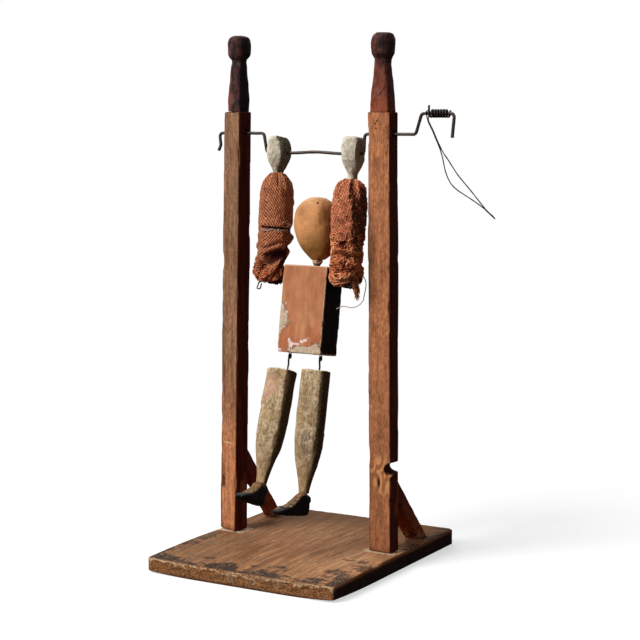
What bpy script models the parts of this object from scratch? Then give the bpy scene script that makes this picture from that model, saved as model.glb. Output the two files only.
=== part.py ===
"""Hand-cranked acrobat toy: a wooden figure hangs by its hands from a bent steel crank between two posts.

X runs along the axle from its bent tail to the grip, Y away from the front and Z up. The origin is the
centre of the base board's underside. Lengths are metres and angles are degrees.

Across the toy, sizes are chained outwards from the torso: torso, sleeves, hands, crank legs, posts and
then the edges of the base board, so each of them can change and the rest still fits round it.
"""

import math

import bmesh
import bpy
from mathutils import Matrix, Vector

# Fits and cuts
SEAT_GAP = 0.0003
RUNNING_CLEARANCE = 0.0004
CUT_OVERRUN = 0.002
DRILL_SIDES = 16

# Base board
BASE_DEPTH = 0.188
BASE_THICKNESS = 0.012
BASE_CORNER_RADIUS = 0.0025
BASE_EDGE_ROUND = 0.0009
LEFT_BASE_MARGIN = 0.0111
RIGHT_BASE_MARGIN = 0.0157

# Posts: one stick of wood each, sawn flat at both ends and leaning a little in X
POST_WIDTH = 0.019
POST_DEPTH = 0.0126
POST_EDGE_ROUND = 0.0006
POST_Y = 0.008
LEFT_POST_YAW = -19.5
LEFT_POST_LEAN = 0.0060
LEFT_POST_GAP = 0.0250
RIGHT_POST_YAW = -4.0
RIGHT_POST_LEAN = -0.0025
RIGHT_POST_GAP = 0.0148
KNOT_HEIGHT = 0.0621
KNOT_TALL = 0.0106
KNOT_DEPTH = 0.0050
KNOT_RISE = 0.0014
KNOT_BACK_SHARES = (1.6, 0.57)

# Finials: a rounded rectangle at the foot that turns round towards a barrel-shaped head
FINIAL_HEIGHT = 0.0559
FINIAL_FOOT_WIDTH = 0.0154
FINIAL_FOOT_DEPTH = 0.0118
FINIAL_HEAD_DIAMETER = 0.0178
FINIAL_DOWEL_DIAMETER = 0.0050
FINIAL_DOWEL_LENGTH = 0.0090
FINIAL_SIDES = 20
LEFT_FINIAL_SHIFT = 0.0008
LEFT_FINIAL_TILT = 1.6
# Height share, share of roundness, share of the foot's section, share of the head's diameter
FINIAL_SHARES = (
    (0.00, 0.00, 1.00, 0.98),
    (0.10, 0.05, 0.99, 0.97),
    (0.25, 0.25, 0.95, 0.92),
    (0.42, 0.60, 0.90, 0.82),
    (0.56, 0.90, 0.86, 0.71),
    (0.66, 1.00, 0.84, 0.645),
    (0.71, 1.00, 0.84, 0.66),
    (0.76, 1.00, 0.84, 0.79),
    (0.81, 1.00, 0.84, 0.93),
    (0.86, 1.00, 0.84, 1.00),
    (0.91, 1.00, 0.84, 0.985),
    (0.955, 1.00, 0.84, 0.88),
    (0.985, 1.00, 0.84, 0.70),
    (1.00, 1.00, 0.84, 0.50),
)

# Braces behind the posts
LEFT_BRACE_WIDTH = 0.008
LEFT_BRACE_THICKNESS = 0.012
LEFT_BRACE_REACH = 0.0550
LEFT_BRACE_RISE = 0.0620
LEFT_BRACE_OFFSET = 0.0052
LEFT_BRACE_SKEW = -0.0040
RIGHT_BRACE_WIDTH = 0.0124
RIGHT_BRACE_THICKNESS = 0.0106
RIGHT_BRACE_REACH = 0.0495
RIGHT_BRACE_RISE = 0.0525
RIGHT_BRACE_OFFSET = 0.0026
RIGHT_BRACE_SKEW = -0.0008
BRACE_EDGE_ROUND = 0.0006

# Nails
NAIL_DIAMETER = 0.0016
NAIL_HEAD_DIAMETER = 0.0036
NAIL_HEAD_THICKNESS = 0.0008
NAIL_POINT_LENGTH = 0.0020
POST_NAIL_LENGTH = 0.030
POST_NAIL_SPACING = 0.0090
BRACE_NAIL_LENGTH = 0.0165
NAIL_SIDES = 12

# Crank: one bent wire with an inner throw for the hands and an outer throw for the grip
CRANK_WIRE = 0.0025
AXLE_BELOW_POST_TOP = 0.0160
INNER_THROW = 0.0144
OUTER_THROW = 0.0148
CRANK_BEND_RADIUS = 0.0026
CRANK_BEND_STEPS = 4
CRANK_OVERHANG = 0.0265
OUTER_LEG_RUN = 0.0047
GRIP_LENGTH = 0.0257
HOOK_DROP = 0.0171
HOOK_RUN = 0.0016
TAIL_GAP = 0.0050
TAIL_DROP = 0.0134
TAIL_KINK_HEIGHT = 0.0092
TAIL_KINK_RUN = 0.0010
INNER_LEG_RUN = 0.0026

# Wire wound on the grip
WINDING_WIRE = 0.00175
WINDING_PITCH = 0.0022
WINDING_TURNS = 6.5
WINDING_CLEARANCE = 0.0003
WINDING_POINTS_PER_TURN = 24
WINDING_START = 0.0069
WINDING_STUB = 0.0058
WINDING_TAIL = 0.0022

# Pull wire hooked over the grip
PULL_WIRE = 0.0008
PULL_START = 0.0045
PULL_CLEARANCE = 0.00035
PULL_STRAND_GAP = 0.0004
PULL_REACH = 0.0532
PULL_DROP = 0.0731
PULL_STEPS = 2
# Shares of the reach in X and of the drop in Z, from the grip's axis
PULL_FRONT_SHARES = (
    (0.008, 0.060), (0.020, 0.085), (0.070, 0.150), (0.130, 0.240), (0.200, 0.350), (0.240, 0.440),
    (0.280, 0.560), (0.355, 0.668), (0.470, 0.740), (0.669, 0.821), (0.850, 0.905),
)
PULL_BACK_SHARES = (
    (0.008, 0.060), (0.020, 0.085), (0.070, 0.150), (0.130, 0.240), (0.205, 0.345), (0.255, 0.400),
    (0.310, 0.449), (0.449, 0.588), (0.640, 0.735), (0.863, 0.915), (0.950, 0.965),
)

# Arms, measured along the arm from the bar that the hand holds
ARM_LENGTH = 0.0960
ARM_LEAN = -7.13
ARM_SHIFT_AT_HAND = -0.0016
ARM_WIDTH = 0.0084
ARM_DEPTH = 0.0116
ARM_END = 0.0018
ARM_SIDES = 20
HAND_SQUARENESS = 5.0
WRIST_WIDTH = 0.0058
WRIST_DEPTH = 0.0092
HAND_HEIGHT = 0.0262
HAND_ABOVE_BAR = 0.0120
HAND_DEPTH = 0.0178
LEFT_HAND_WIDTH = 0.0100
RIGHT_HAND_WIDTH = 0.0122
LEFT_HAND_GAP = 0.0069
RIGHT_HAND_GAP = 0.0030
# Share of the hand's height from its top, share of its width, share of its depth
HAND_SHARES = (
    (0.00, 0.80, 0.84), (0.04, 0.94, 0.95), (0.16, 0.98, 0.97), (0.42, 1.00, 1.00),
    (0.62, 0.97, 0.96), (0.80, 0.82, 0.78),
)

# Sleeves: open tubes of wool cloth
SLEEVE_THICKNESS = 0.0010
SLEEVE_SIDES = 30
HEM_RISE_OUTSIDE = 0.0078
HEM_RISE_INSIDE = 0.0046
LEFT_SHOULDER_GAP = 0.0042
LEFT_SLEEVE_WIDTH = 0.0230
LEFT_SLEEVE_DEPTH = 0.0262
LEFT_SLEEVE_START = 0.0152
RIGHT_SHOULDER_GAP = 0.0006
RIGHT_SLEEVE_WIDTH = 0.0206
RIGHT_SLEEVE_DEPTH = 0.0312
RIGHT_SLEEVE_START = 0.0190
CUFF_CLEARANCE = 0.0004
SLEEVE_FOLD = 0.0011
SLEEVE_FOLDS_AROUND = 5
SLEEVE_FOLD_TURNS = 1.6
# Share of the sleeve's length from its cuff, shares of its width and depth, share of the folds' depth,
# and shares of the width and depth that the row lies outwards and forwards of the arm's centre
LEFT_SLEEVE_SHARES = (
    (0.035, 0.60, 0.66, 0.5, 0.00, 0.00),
    (0.08, 0.82, 0.84, 0.4, 0.00, 0.00),
    (0.15, 0.95, 0.96, 0.2, 0.00, 0.00),
    (0.25, 0.97, 0.97, 0.1, 0.01, 0.00),
    (0.35, 0.98, 0.98, 0.1, 0.01, 0.00),
    (0.44, 0.98, 1.00, 0.2, 0.01, 0.00),
    (0.505, 0.95, 0.98, 0.3, 0.01, 0.00),
    (0.535, 0.90, 0.93, 0.5, 0.01, 0.00),
    (0.57, 0.98, 1.00, 0.4, 0.01, -0.01),
    (0.64, 0.94, 0.95, 0.5, 0.02, 0.00),
    (0.71, 0.91, 0.88, 0.8, 0.03, 0.01),
    (0.78, 0.88, 0.87, 1.0, 0.05, 0.02),
    (0.85, 0.93, 0.92, 1.0, 0.035, 0.03),
    (0.92, 0.95, 0.92, 1.0, 0.025, 0.03),
    (0.97, 0.90, 0.88, 0.9, 0.02, 0.02),
    (1.00, 0.84, 0.84, 0.8, 0.02, 0.02),
)
RIGHT_SLEEVE_SHARES = (
    (0.035, 0.74, 0.74, 0.5, 0.00, 0.04),
    (0.08, 0.88, 0.86, 0.3, 0.00, 0.06),
    (0.15, 0.95, 0.93, 0.2, 0.00, 0.07),
    (0.25, 0.98, 0.98, 0.1, 0.00, 0.08),
    (0.35, 1.00, 1.00, 0.1, 0.00, 0.08),
    (0.44, 0.99, 0.97, 0.2, 0.00, 0.08),
    (0.52, 0.97, 0.91, 0.3, 0.00, 0.09),
    (0.60, 0.95, 0.86, 0.5, 0.00, 0.09),
    (0.67, 0.93, 0.81, 0.7, 0.00, 0.09),
    (0.73, 0.93, 0.80, 0.9, 0.00, 0.08),
    (0.79, 0.95, 0.85, 1.0, 0.00, 0.07),
    (0.85, 0.97, 0.88, 1.0, 0.00, 0.06),
    (0.91, 0.97, 0.88, 1.0, 0.00, 0.06),
    (0.96, 0.95, 0.86, 1.0, 0.00, 0.06),
    (1.00, 0.90, 0.82, 0.8, 0.00, 0.06),
)

# Torso block
TORSO_WIDTH = 0.0372
TORSO_DEPTH = 0.0250
TORSO_HEIGHT = 0.0647
TORSO_LEAN = -9.4
TORSO_EDGE_ROUND = 0.0006
SHOULDER_BELOW_TOP = 0.0127

# Neck peg and head
NECK_SHIFT = 0.0028
NECK_HEIGHT = 0.0040
NECK_FOOT_DIAMETER = 0.0046
NECK_TOP_DIAMETER = 0.0080
NECK_DOWEL_DIAMETER = 0.0040
NECK_DOWEL_LENGTH = 0.0085
NECK_SIDES = 16
HEAD_TILT = -5.4
HEAD_HEIGHT = 0.0472
HEAD_DIAMETER = 0.0344
HEAD_WIDEST_SHARE = 0.58
HEAD_FLAT_SHARE = 0.24
HEAD_SIDES = 28
HEAD_RINGS = 14

# Shoulder wire through both arms and the torso
SHOULDER_WIRE = 0.0010
SHOULDER_WIRE_BEND = 0.0008
SHOULDER_LOOP_LENGTH = 0.0062
SHOULDER_LOOP_WIDTH = 0.0030
SHOULDER_LOOP_RUN = 0.0022
SHOULDER_LOOP_REACH = 0.0116
SHOULDER_CURL_RADIUS = 0.0017
SHOULDER_CURL_GAP = 0.0026

# Hips: a staple under the torso and an eyed wire in each leg
HIP_WIRE = 0.0011
HIP_SPACING = 0.0262
HIP_SHIFT = -0.0010
HIP_DROP = 0.0026
HIP_EYE_RADIUS = 0.00145
HIP_WIRE_DEPTH = 0.0100
STAPLE_WIDTH = 0.0060
STAPLE_DEPTH = 0.0080

# Legs
LEFT_LEG_LEAN = -20.8
LEFT_LEG_START = 0.0113
LEFT_LEG_LENGTH = 0.0850
LEFT_LEG_SHIFT = -0.0042
RIGHT_LEG_LEAN = -11.8
RIGHT_LEG_START = 0.0085
RIGHT_LEG_LENGTH = 0.0905
RIGHT_LEG_SHIFT = -0.0025
LEG_DIAMETER = 0.0220
LEG_SIDES = 24
# Share of the leg's length from its top, share of its diameter
LEG_SHARES = (
    (0.00, 0.94), (0.006, 0.97), (0.14, 0.975), (0.32, 0.99), (0.46, 0.985), (0.58, 0.945), (0.68, 0.85),
    (0.75, 0.745), (0.82, 0.62), (0.89, 0.475), (0.95, 0.40), (1.00, 0.375),
)

# Boots
BOOT_LENGTH = 0.0370
BOOT_HEIGHT = 0.0165
BOOT_WIDTH = 0.0116
BOOT_HEEL = 0.0047
BOOT_TURN = 6.0
BOOT_SIDES = 16
BOOT_NAIL_LENGTH = 0.0240
BOOT_OVER_BOARD = 0.0298
# Share of the length from the heel, share of the height at the top and at the sole, share of the width
BOOT_SHARES = (
    (0.00, 0.84, 0.10, 0.60), (0.03, 0.95, 0.03, 0.76), (0.10, 1.00, 0.00, 0.86), (0.20, 1.00, 0.00, 0.88),
    (0.29, 0.95, 0.00, 0.88), (0.40, 0.77, 0.00, 0.90), (0.52, 0.60, 0.00, 0.95), (0.64, 0.47, 0.00, 1.00),
    (0.76, 0.39, 0.01, 0.98), (0.87, 0.33, 0.03, 0.86), (0.95, 0.28, 0.07, 0.66), (1.00, 0.22, 0.11, 0.42),
)

# Loose thread at the hem of the right sleeve
THREAD = 0.0007
THREAD_STEPS = 3

# The posts are as tall as the figure hangs low: its arms, torso and right leg below the bar, the boot's
# room over the board, and the axle's own place below the posts' tops
FIGURE_HANG = (
    ARM_LENGTH * math.cos(math.radians(ARM_LEAN))
    + (TORSO_HEIGHT - SHOULDER_BELOW_TOP + HIP_DROP) * math.cos(math.radians(TORSO_LEAN))
    + (RIGHT_LEG_START + RIGHT_LEG_LENGTH + BOOT_HEIGHT) * math.cos(math.radians(RIGHT_LEG_LEAN))
)
POST_HEIGHT = AXLE_BELOW_POST_TOP + INNER_THROW + FIGURE_HANG + BOOT_OVER_BOARD

# Positions across the toy, from the torso's centre outwards
LEFT_SHOULDER_X = -(TORSO_WIDTH / 2 + LEFT_SHOULDER_GAP + LEFT_SLEEVE_WIDTH / 2)
RIGHT_SHOULDER_X = TORSO_WIDTH / 2 + RIGHT_SHOULDER_GAP + RIGHT_SLEEVE_WIDTH / 2
LEFT_HAND_X = LEFT_SHOULDER_X + ARM_SHIFT_AT_HAND
RIGHT_HAND_X = RIGHT_SHOULDER_X + ARM_SHIFT_AT_HAND
LEFT_LEG_OF_CRANK_X = LEFT_HAND_X - LEFT_HAND_WIDTH / 2 - LEFT_HAND_GAP
RIGHT_LEG_OF_CRANK_X = RIGHT_HAND_X + RIGHT_HAND_WIDTH / 2 + RIGHT_HAND_GAP
LEFT_POST_AT_AXLE_X = LEFT_LEG_OF_CRANK_X - LEFT_POST_GAP
RIGHT_POST_AT_AXLE_X = RIGHT_LEG_OF_CRANK_X + RIGHT_POST_GAP
AXLE_SHARE = 1 - AXLE_BELOW_POST_TOP / POST_HEIGHT
LEFT_FOOT_X = LEFT_POST_AT_AXLE_X - LEFT_POST_LEAN * AXLE_SHARE
RIGHT_FOOT_X = RIGHT_POST_AT_AXLE_X - RIGHT_POST_LEAN * AXLE_SHARE
BASE_LEFT = LEFT_FOOT_X - LEFT_BASE_MARGIN
BASE_RIGHT = RIGHT_FOOT_X + RIGHT_BASE_MARGIN
BASE_WIDTH = BASE_RIGHT - BASE_LEFT
TORSO_X = -(BASE_LEFT + BASE_RIGHT) / 2

# Heights and depths
POST_FOOT_Z = BASE_THICKNESS + SEAT_GAP
POST_TOP_Z = POST_FOOT_Z + POST_HEIGHT
AXLE_Z = POST_TOP_Z - AXLE_BELOW_POST_TOP
BAR_Z = AXLE_Z - INNER_THROW
GRIP_Z = AXLE_Z + OUTER_THROW
SHOULDER_Y = POST_Y + ARM_LENGTH * math.sin(math.radians(ARM_LEAN))
SHOULDER_Z = BAR_Z - ARM_LENGTH * math.cos(math.radians(ARM_LEAN))
GRIP_START_X = TORSO_X + RIGHT_POST_AT_AXLE_X + CRANK_OVERHANG + OUTER_LEG_RUN

# Loose thread: shares of its reach in X, Y and Z from the point where it leaves the sleeve
THREAD_REACH = 0.0220
THREAD_START_SHARE = 0.93
THREAD_ROUTE_SHARES = (
    (0.00, 0.00, 0.00), (0.11, 0.00, -0.155), (0.12, 0.01, -0.377), (0.06, 0.00, -0.659),
    (0.02, 0.00, -0.827), (-0.14, -0.02, -1.00), (-0.35, -0.10, -1.077), (-0.565, -0.24, -1.027),
    (-0.68, -0.36, -1.064), (-0.73, -0.45, -1.109),
)


def clear_scene():
    for item in list(bpy.data.objects):
        bpy.data.objects.remove(item)


def finish(name, color, roughness, metallic=0.0):
    """A plain surface finish."""
    made = bpy.data.materials.get(name) or bpy.data.materials.new(name)
    made.use_nodes = True
    shader = made.node_tree.nodes["Principled BSDF"]
    shader.inputs["Base Color"].default_value = (*color, 1.0)
    shader.inputs["Roughness"].default_value = roughness
    shader.inputs["Metallic"].default_value = metallic
    made.diffuse_color = (*color, 1.0)
    return made


def add_object(name, data, look, parent=None, location=(0, 0, 0), rotation=(0, 0, 0)):
    item = bpy.data.objects.new(name, data)
    bpy.context.scene.collection.objects.link(item)
    item.parent = parent
    item.location = location
    item.rotation_euler = [math.radians(angle) for angle in rotation]
    if look:
        data.materials.append(look)
    return item


def add_pivot(name, location, rotation=(0, 0, 0), parent=None):
    """An empty on a joint's axis, which carries the pieces that turn about it."""
    return add_object(name, None, None, parent, location, rotation)


def mesh_from(shape, name):
    bmesh.ops.recalc_face_normals(shape, faces=shape.faces)
    mesh = bpy.data.meshes.new(name)
    shape.to_mesh(mesh)
    shape.free()
    return mesh


def smooth(mesh, angle=35):
    mesh.shade_smooth()
    mesh.set_sharp_from_angle(angle=math.radians(angle))
    return mesh


def round_section(half_x, half_y, power, sides):
    """Points of a superellipse: power 2 is an ellipse and higher powers are squarer."""
    points = []
    for step in range(sides):
        angle = 2 * math.pi * (step + 0.5) / sides
        across = math.cos(angle)
        along = math.sin(angle)
        points.append((
            half_x * math.copysign(abs(across) ** (2 / power), across),
            half_y * math.copysign(abs(along) ** (2 / power), along),
        ))
    return points


def loft(rings, name, capped=True):
    """A skin over rings of points, with an n-gon over each end."""
    shape = bmesh.new()
    loops = [[shape.verts.new(point) for point in ring] for ring in rings]
    for low, high in zip(loops, loops[1:]):
        count = len(low)
        for step in range(count):
            after = (step + 1) % count
            shape.faces.new((low[step], low[after], high[after], high[step]))
    if capped:
        shape.faces.new(loops[0])
        shape.faces.new(loops[-1])
    return mesh_from(shape, name)


def turned(profile, sides, name):
    """A round solid about Z from (radius, height) pairs, flat at both ends."""
    rings = []
    for radius, height in profile:
        rings.append([Vector((x, y, height)) for x, y in round_section(radius, radius, 2, sides)])
    return smooth(loft(rings, name))


def box_mesh(width, depth, height, name):
    shape = bmesh.new()
    bmesh.ops.create_cube(shape, size=1.0, matrix=Matrix.Diagonal((width, depth, height, 1)))
    return mesh_from(shape, name)


def bevel(item, width, segments=2):
    modifier = item.modifiers.new("rounded edges", "BEVEL")
    modifier.width = width
    modifier.segments = segments
    modifier.limit_method = "ANGLE"
    return item


def cut(item, cutter):
    cutter.hide_render = True
    cutter.display_type = "WIRE"
    modifier = item.modifiers.new("cut by " + cutter.name, "BOOLEAN")
    modifier.operation = "DIFFERENCE"
    modifier.solver = "EXACT"
    modifier.object = cutter


def drill(item, name, start, end, diameter, parent=None):
    """A round hole from start to end, in the parent's frame, or the item's own when none is given."""
    start = Vector(start)
    reach = Vector(end) - start
    radius = diameter / 2
    mesh = turned(((radius, 0), (radius, reach.length)), DRILL_SIDES, name)
    cutter = add_object(name, mesh, None, parent or item)
    turn = reach.to_track_quat("Z", "Y").to_matrix().to_4x4()
    cutter.matrix_local = Matrix.Translation(start) @ turn
    cut(item, cutter)


def rounded_path(corners, radius, steps):
    """The corner points joined by straight runs, with an arc of the given radius at each inner corner."""
    path = [Vector(corners[0])]
    for before, corner, after in zip(corners, corners[1:], corners[2:]):
        corner = Vector(corner)
        inward = (Vector(before) - corner).normalized()
        outward = (Vector(after) - corner).normalized()
        half = inward.angle(outward) / 2
        centre = corner + (inward + outward).normalized() * radius / math.sin(half)
        start = corner + inward * radius / math.tan(half) - centre
        sweep = math.pi - 2 * half
        axis = start.cross(corner - centre).normalized()
        for step in range(steps + 1):
            path.append(centre + Matrix.Rotation(sweep * step / steps, 3, axis) @ start)
    path.append(Vector(corners[-1]))
    return path


def smooth_path(points, steps, closed=False):
    """A smooth curve through the points (Catmull-Rom)."""
    points = [Vector(point) for point in points]
    count = len(points)
    path = []
    for index in range(count if closed else count - 1):
        if closed:
            ring = [points[(index + offset) % count] for offset in (-1, 0, 1, 2)]
        else:
            ring = [points[min(max(index + offset, 0), count - 1)] for offset in (-1, 0, 1, 2)]
        for step in range(steps):
            share = step / steps
            bend = (
                2 * ring[1]
                + (ring[2] - ring[0]) * share
                + (2 * ring[0] - 5 * ring[1] + 4 * ring[2] - ring[3]) * share ** 2
                + (3 * ring[1] - ring[0] - 3 * ring[2] + ring[3]) * share ** 3
            )
            path.append(bend / 2)
    if not closed:
        path.append(points[-1])
    return path


def wire(name, path, diameter, look, parent=None, resolution=2, closed=False):
    """A round wire along a path."""
    curve = bpy.data.curves.new(name, "CURVE")
    curve.dimensions = "3D"
    curve.fill_mode = "FULL"
    curve.bevel_depth = diameter / 2
    curve.bevel_resolution = resolution
    curve.use_fill_caps = not closed
    spline = curve.splines.new("POLY")
    spline.points.add(len(path) - 1)
    for slot, point in zip(spline.points, path):
        slot.co = (*point, 1)
    spline.use_cyclic_u = closed
    spline.use_smooth = True
    return add_object(name, curve, look, parent)


def nail(name, head, direction, length, look, parent=None):
    """A wire nail whose head's outer face is at the given point."""
    direction = Vector(direction).normalized()
    radius = NAIL_DIAMETER / 2
    profile = (
        (NAIL_HEAD_DIAMETER / 2, 0),
        (NAIL_HEAD_DIAMETER / 2, NAIL_HEAD_THICKNESS),
        (radius, NAIL_HEAD_THICKNESS),
        (radius, length - NAIL_POINT_LENGTH),
        (radius / 4, length),
    )
    item = add_object(name, turned(profile, NAIL_SIDES, name), look, parent)
    turn = direction.to_track_quat("Z", "Y").to_matrix().to_4x4()
    item.matrix_local = Matrix.Translation(Vector(head)) @ turn
    return item


def drill_for_nail(item, label, head, direction, length, parent, recess):
    """The nail's hole in one piece, with a wider recess for its head where the head lies in that piece."""
    head = Vector(head)
    direction = Vector(direction).normalized()
    width = NAIL_DIAMETER + 2 * SEAT_GAP
    start = head - direction * CUT_OVERRUN
    drill(item, label + "_hole", start, head + direction * (length + SEAT_GAP), width, parent)
    if recess:
        floor = head + direction * (NAIL_HEAD_THICKNESS + SEAT_GAP)
        width = NAIL_HEAD_DIAMETER + 2 * SEAT_GAP
        drill(item, label + "_recess", head - direction * recess, floor, width, parent)


def make_base(looks):
    mesh = box_mesh(BASE_WIDTH, BASE_DEPTH, BASE_THICKNESS, "base_board")
    shape = bmesh.new()
    shape.from_mesh(mesh)
    upright = [edge for edge in shape.edges if abs(edge.verts[0].co.z - edge.verts[1].co.z) > BASE_THICKNESS / 2]
    bmesh.ops.bevel(shape, geom=upright, offset=BASE_CORNER_RADIUS, segments=4, affect="EDGES", profile=0.5)
    top = [edge for edge in shape.edges if all(vert.co.z > 0 for vert in edge.verts)]
    bmesh.ops.bevel(shape, geom=top, offset=BASE_EDGE_ROUND, segments=2, affect="EDGES", profile=0.5)
    bmesh.ops.translate(shape, verts=shape.verts, vec=(0, 0, BASE_THICKNESS / 2))
    mesh = mesh_from(shape, "base_board")
    return add_object("base_board", mesh, looks["board"])


def post_point(foot_x, lean, yaw, width_share, depth_share, height):
    """A point of a post, from shares of its half width and half depth, at a height above its foot."""
    turn = Matrix.Rotation(math.radians(yaw), 3, "Z")
    across = turn @ Vector((width_share * POST_WIDTH / 2, depth_share * POST_DEPTH / 2, 0))
    centre = Vector((TORSO_X + foot_x + lean * height / POST_HEIGHT, POST_Y, POST_FOOT_Z + height))
    return centre + across


def finial_seat(side, foot_x, lean, yaw):
    """The finial's frame on top of its post. The left one stands a little inwards and leans that way."""
    shift = LEFT_FINIAL_SHIFT if side == "left" else 0
    tilt = math.radians(LEFT_FINIAL_TILT) if side == "left" else 0
    place = post_point(foot_x, lean, yaw, 0, 0, POST_HEIGHT)
    place.x += shift
    place.z += SEAT_GAP + FINIAL_FOOT_WIDTH / 2 * math.sin(tilt)
    turn = Matrix.Rotation(math.radians(yaw), 4, "Z")
    return Matrix.Translation(place) @ turn @ Matrix.Rotation(tilt, 4, "Y")


def make_post(side, foot_x, lean, yaw, looks, board):
    corners = ((-1, -1), (1, -1), (1, 1), (-1, 1))
    rings = []
    for height in (0, POST_HEIGHT):
        rings.append([post_point(foot_x, lean, yaw, *corner, height) for corner in corners])
    post = add_object(side + "_post", loft(rings, side + "_post"), looks["post"])
    bevel(post, POST_EDGE_ROUND)

    axle = Vector((TORSO_X + foot_x + lean * AXLE_SHARE, POST_Y, AXLE_Z))
    half = Vector((POST_WIDTH, 0, 0))
    drill(post, side + "_axle_hole", axle - half, axle + half, CRANK_WIRE + 2 * RUNNING_CLEARANCE)

    seat = finial_seat(side, foot_x, lean, yaw)
    width = FINIAL_DOWEL_DIAMETER + 2 * SEAT_GAP
    mouth = seat @ Vector((0, 0, CUT_OVERRUN))
    drill(post, side + "_dowel_hole", mouth, seat @ Vector((0, 0, -FINIAL_DOWEL_LENGTH - SEAT_GAP)), width)

    turn = Matrix.Rotation(math.radians(yaw), 3, "Z")
    foot = post_point(foot_x, lean, yaw, 0, 0, 0)
    for end, label in ((-1, "outer"), (1, "inner")):
        if side == "right":
            end = -end
        head = foot + turn @ Vector((end * POST_NAIL_SPACING / 2, 0, 0))
        head.z = SEAT_GAP
        name = side + "_post_" + label + "_nail"
        nail(name, head, (0, 0, 1), POST_NAIL_LENGTH, looks["steel"])
        drill_for_nail(post, name + "_in_post", head, (0, 0, 1), POST_NAIL_LENGTH, post, 0)
        drill_for_nail(board, name + "_in_base", head, (0, 0, 1), POST_NAIL_LENGTH, board, CUT_OVERRUN)
    return post


def cut_knot(post):
    """The knot that broke out of the right post's outer side, deepest and least tall at the back."""
    turn = Matrix.Rotation(math.radians(RIGHT_POST_YAW), 3, "Z")
    deeper, lower = KNOT_BACK_SHARES
    front = post_point(RIGHT_FOOT_X, RIGHT_POST_LEAN, RIGHT_POST_YAW, 1, -1, KNOT_HEIGHT)
    back = post_point(RIGHT_FOOT_X, RIGHT_POST_LEAN, RIGHT_POST_YAW, 1, 1, KNOT_HEIGHT + KNOT_RISE)
    over = (back - front).normalized() * CUT_OVERRUN
    rings = []
    for centre, half_x, half_z in (
        (front - over, KNOT_DEPTH, KNOT_TALL / 2),
        (back + over, KNOT_DEPTH * deeper, KNOT_TALL / 2 * lower),
    ):
        section = round_section(half_x, half_z, 2, DRILL_SIDES)
        rings.append([centre + turn @ Vector((x, 0, z)) for x, z in section])
    cut(post, add_object("knot_cutter", loft(rings, "knot_cutter"), None))


def make_finial(side, foot_x, lean, yaw, looks):
    rings = []
    radius = FINIAL_DOWEL_DIAMETER / 2
    for height in (-FINIAL_DOWEL_LENGTH, 0):
        rings.append([Vector((x, y, height)) for x, y in round_section(radius, radius, 2, FINIAL_SIDES)])
    for height, roundness, foot_share, head_share in FINIAL_SHARES:
        radius = head_share * FINIAL_HEAD_DIAMETER / 2
        half_x = foot_share * FINIAL_FOOT_WIDTH / 2 * (1 - roundness) + radius * roundness
        half_y = foot_share * FINIAL_FOOT_DEPTH / 2 * (1 - roundness) + radius * roundness
        power = 2 + 3 * (1 - roundness)
        section = round_section(half_x, half_y, power, FINIAL_SIDES)
        rings.append([Vector((x, y, height * FINIAL_HEIGHT)) for x, y in section])
    mesh = smooth(loft(rings, side + "_finial"), 50)
    finial = add_object(side + "_finial", mesh, looks["finial"])
    finial.matrix_world = finial_seat(side, foot_x, lean, yaw)


def make_brace(side, foot_x, lean, yaw, width, thickness, reach, rise, offset, skew, looks, board, post):
    """A slanting strip from the post's back to the board, sawn flat at its foot and fitted to the post."""
    slope = math.atan2(rise, reach)
    foot_length = thickness / math.sin(slope)
    end_height = thickness / math.cos(slope)
    back = POST_Y + POST_DEPTH / 2
    centre = TORSO_X + foot_x + lean * rise / POST_HEIGHT + offset
    into = POST_DEPTH / 2
    raised = into * math.tan(slope)
    low = POST_FOOT_Z
    outline = (
        (back - into, low + rise - end_height + raised),
        (back - into, low + rise + raised),
        (back + reach, low),
        (back + reach - foot_length, low),
    )
    rings = []
    for end in (-1, 1):
        ring = []
        for y, z in outline:
            shift = skew * (y - back) / reach
            ring.append(Vector((centre + shift + end * width / 2, y, z)))
        rings.append(ring)
    brace = add_object(side + "_brace", loft(rings, side + "_brace"), looks["brace"])
    bevel(brace, BRACE_EDGE_ROUND)

    cover = []
    grow = 1 + 2 * SEAT_GAP / POST_DEPTH
    for height in (-CUT_OVERRUN, POST_HEIGHT / 2):
        corners = ((-2, -2), (2, -2), (2, grow), (-2, grow))
        cover.append([post_point(foot_x, lean, yaw, *corner, height) for corner in corners])
    cut(brace, add_object(side + "_brace_fit", loft(cover, side + "_brace_fit"), None))

    foot_y = back + reach - foot_length / 2
    head = Vector((centre + skew * (foot_y - back) / reach, foot_y, low + foot_length / 2 * math.tan(slope)))
    head.z -= NAIL_HEAD_DIAMETER / 2 * math.tan(slope) + NAIL_HEAD_THICKNESS
    name = side + "_brace_foot_nail"
    length = head.z - low + BASE_THICKNESS / 2
    nail(name, head, (0, 0, -1), length, looks["steel"])
    recess = NAIL_HEAD_DIAMETER * math.tan(slope) + CUT_OVERRUN
    drill_for_nail(brace, name + "_in_brace", head, (0, 0, -1), length, brace, recess)
    drill_for_nail(board, name + "_in_base", head, (0, 0, -1), length, board, 0)

    head = Vector((centre, 0, low + rise - end_height / 2))
    head.y = back + (end_height / 2 - NAIL_HEAD_DIAMETER / 2) / math.tan(slope) - NAIL_HEAD_THICKNESS
    name = side + "_brace_top_nail"
    nail(name, head, (0, -1, 0), BRACE_NAIL_LENGTH, looks["steel"])
    recess = NAIL_HEAD_DIAMETER / math.tan(slope) + CUT_OVERRUN
    drill_for_nail(brace, name + "_in_brace", head, (0, -1, 0), BRACE_NAIL_LENGTH, brace, recess)
    drill_for_nail(post, name + "_in_post", head, (0, -1, 0), BRACE_NAIL_LENGTH, post, 0)


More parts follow.
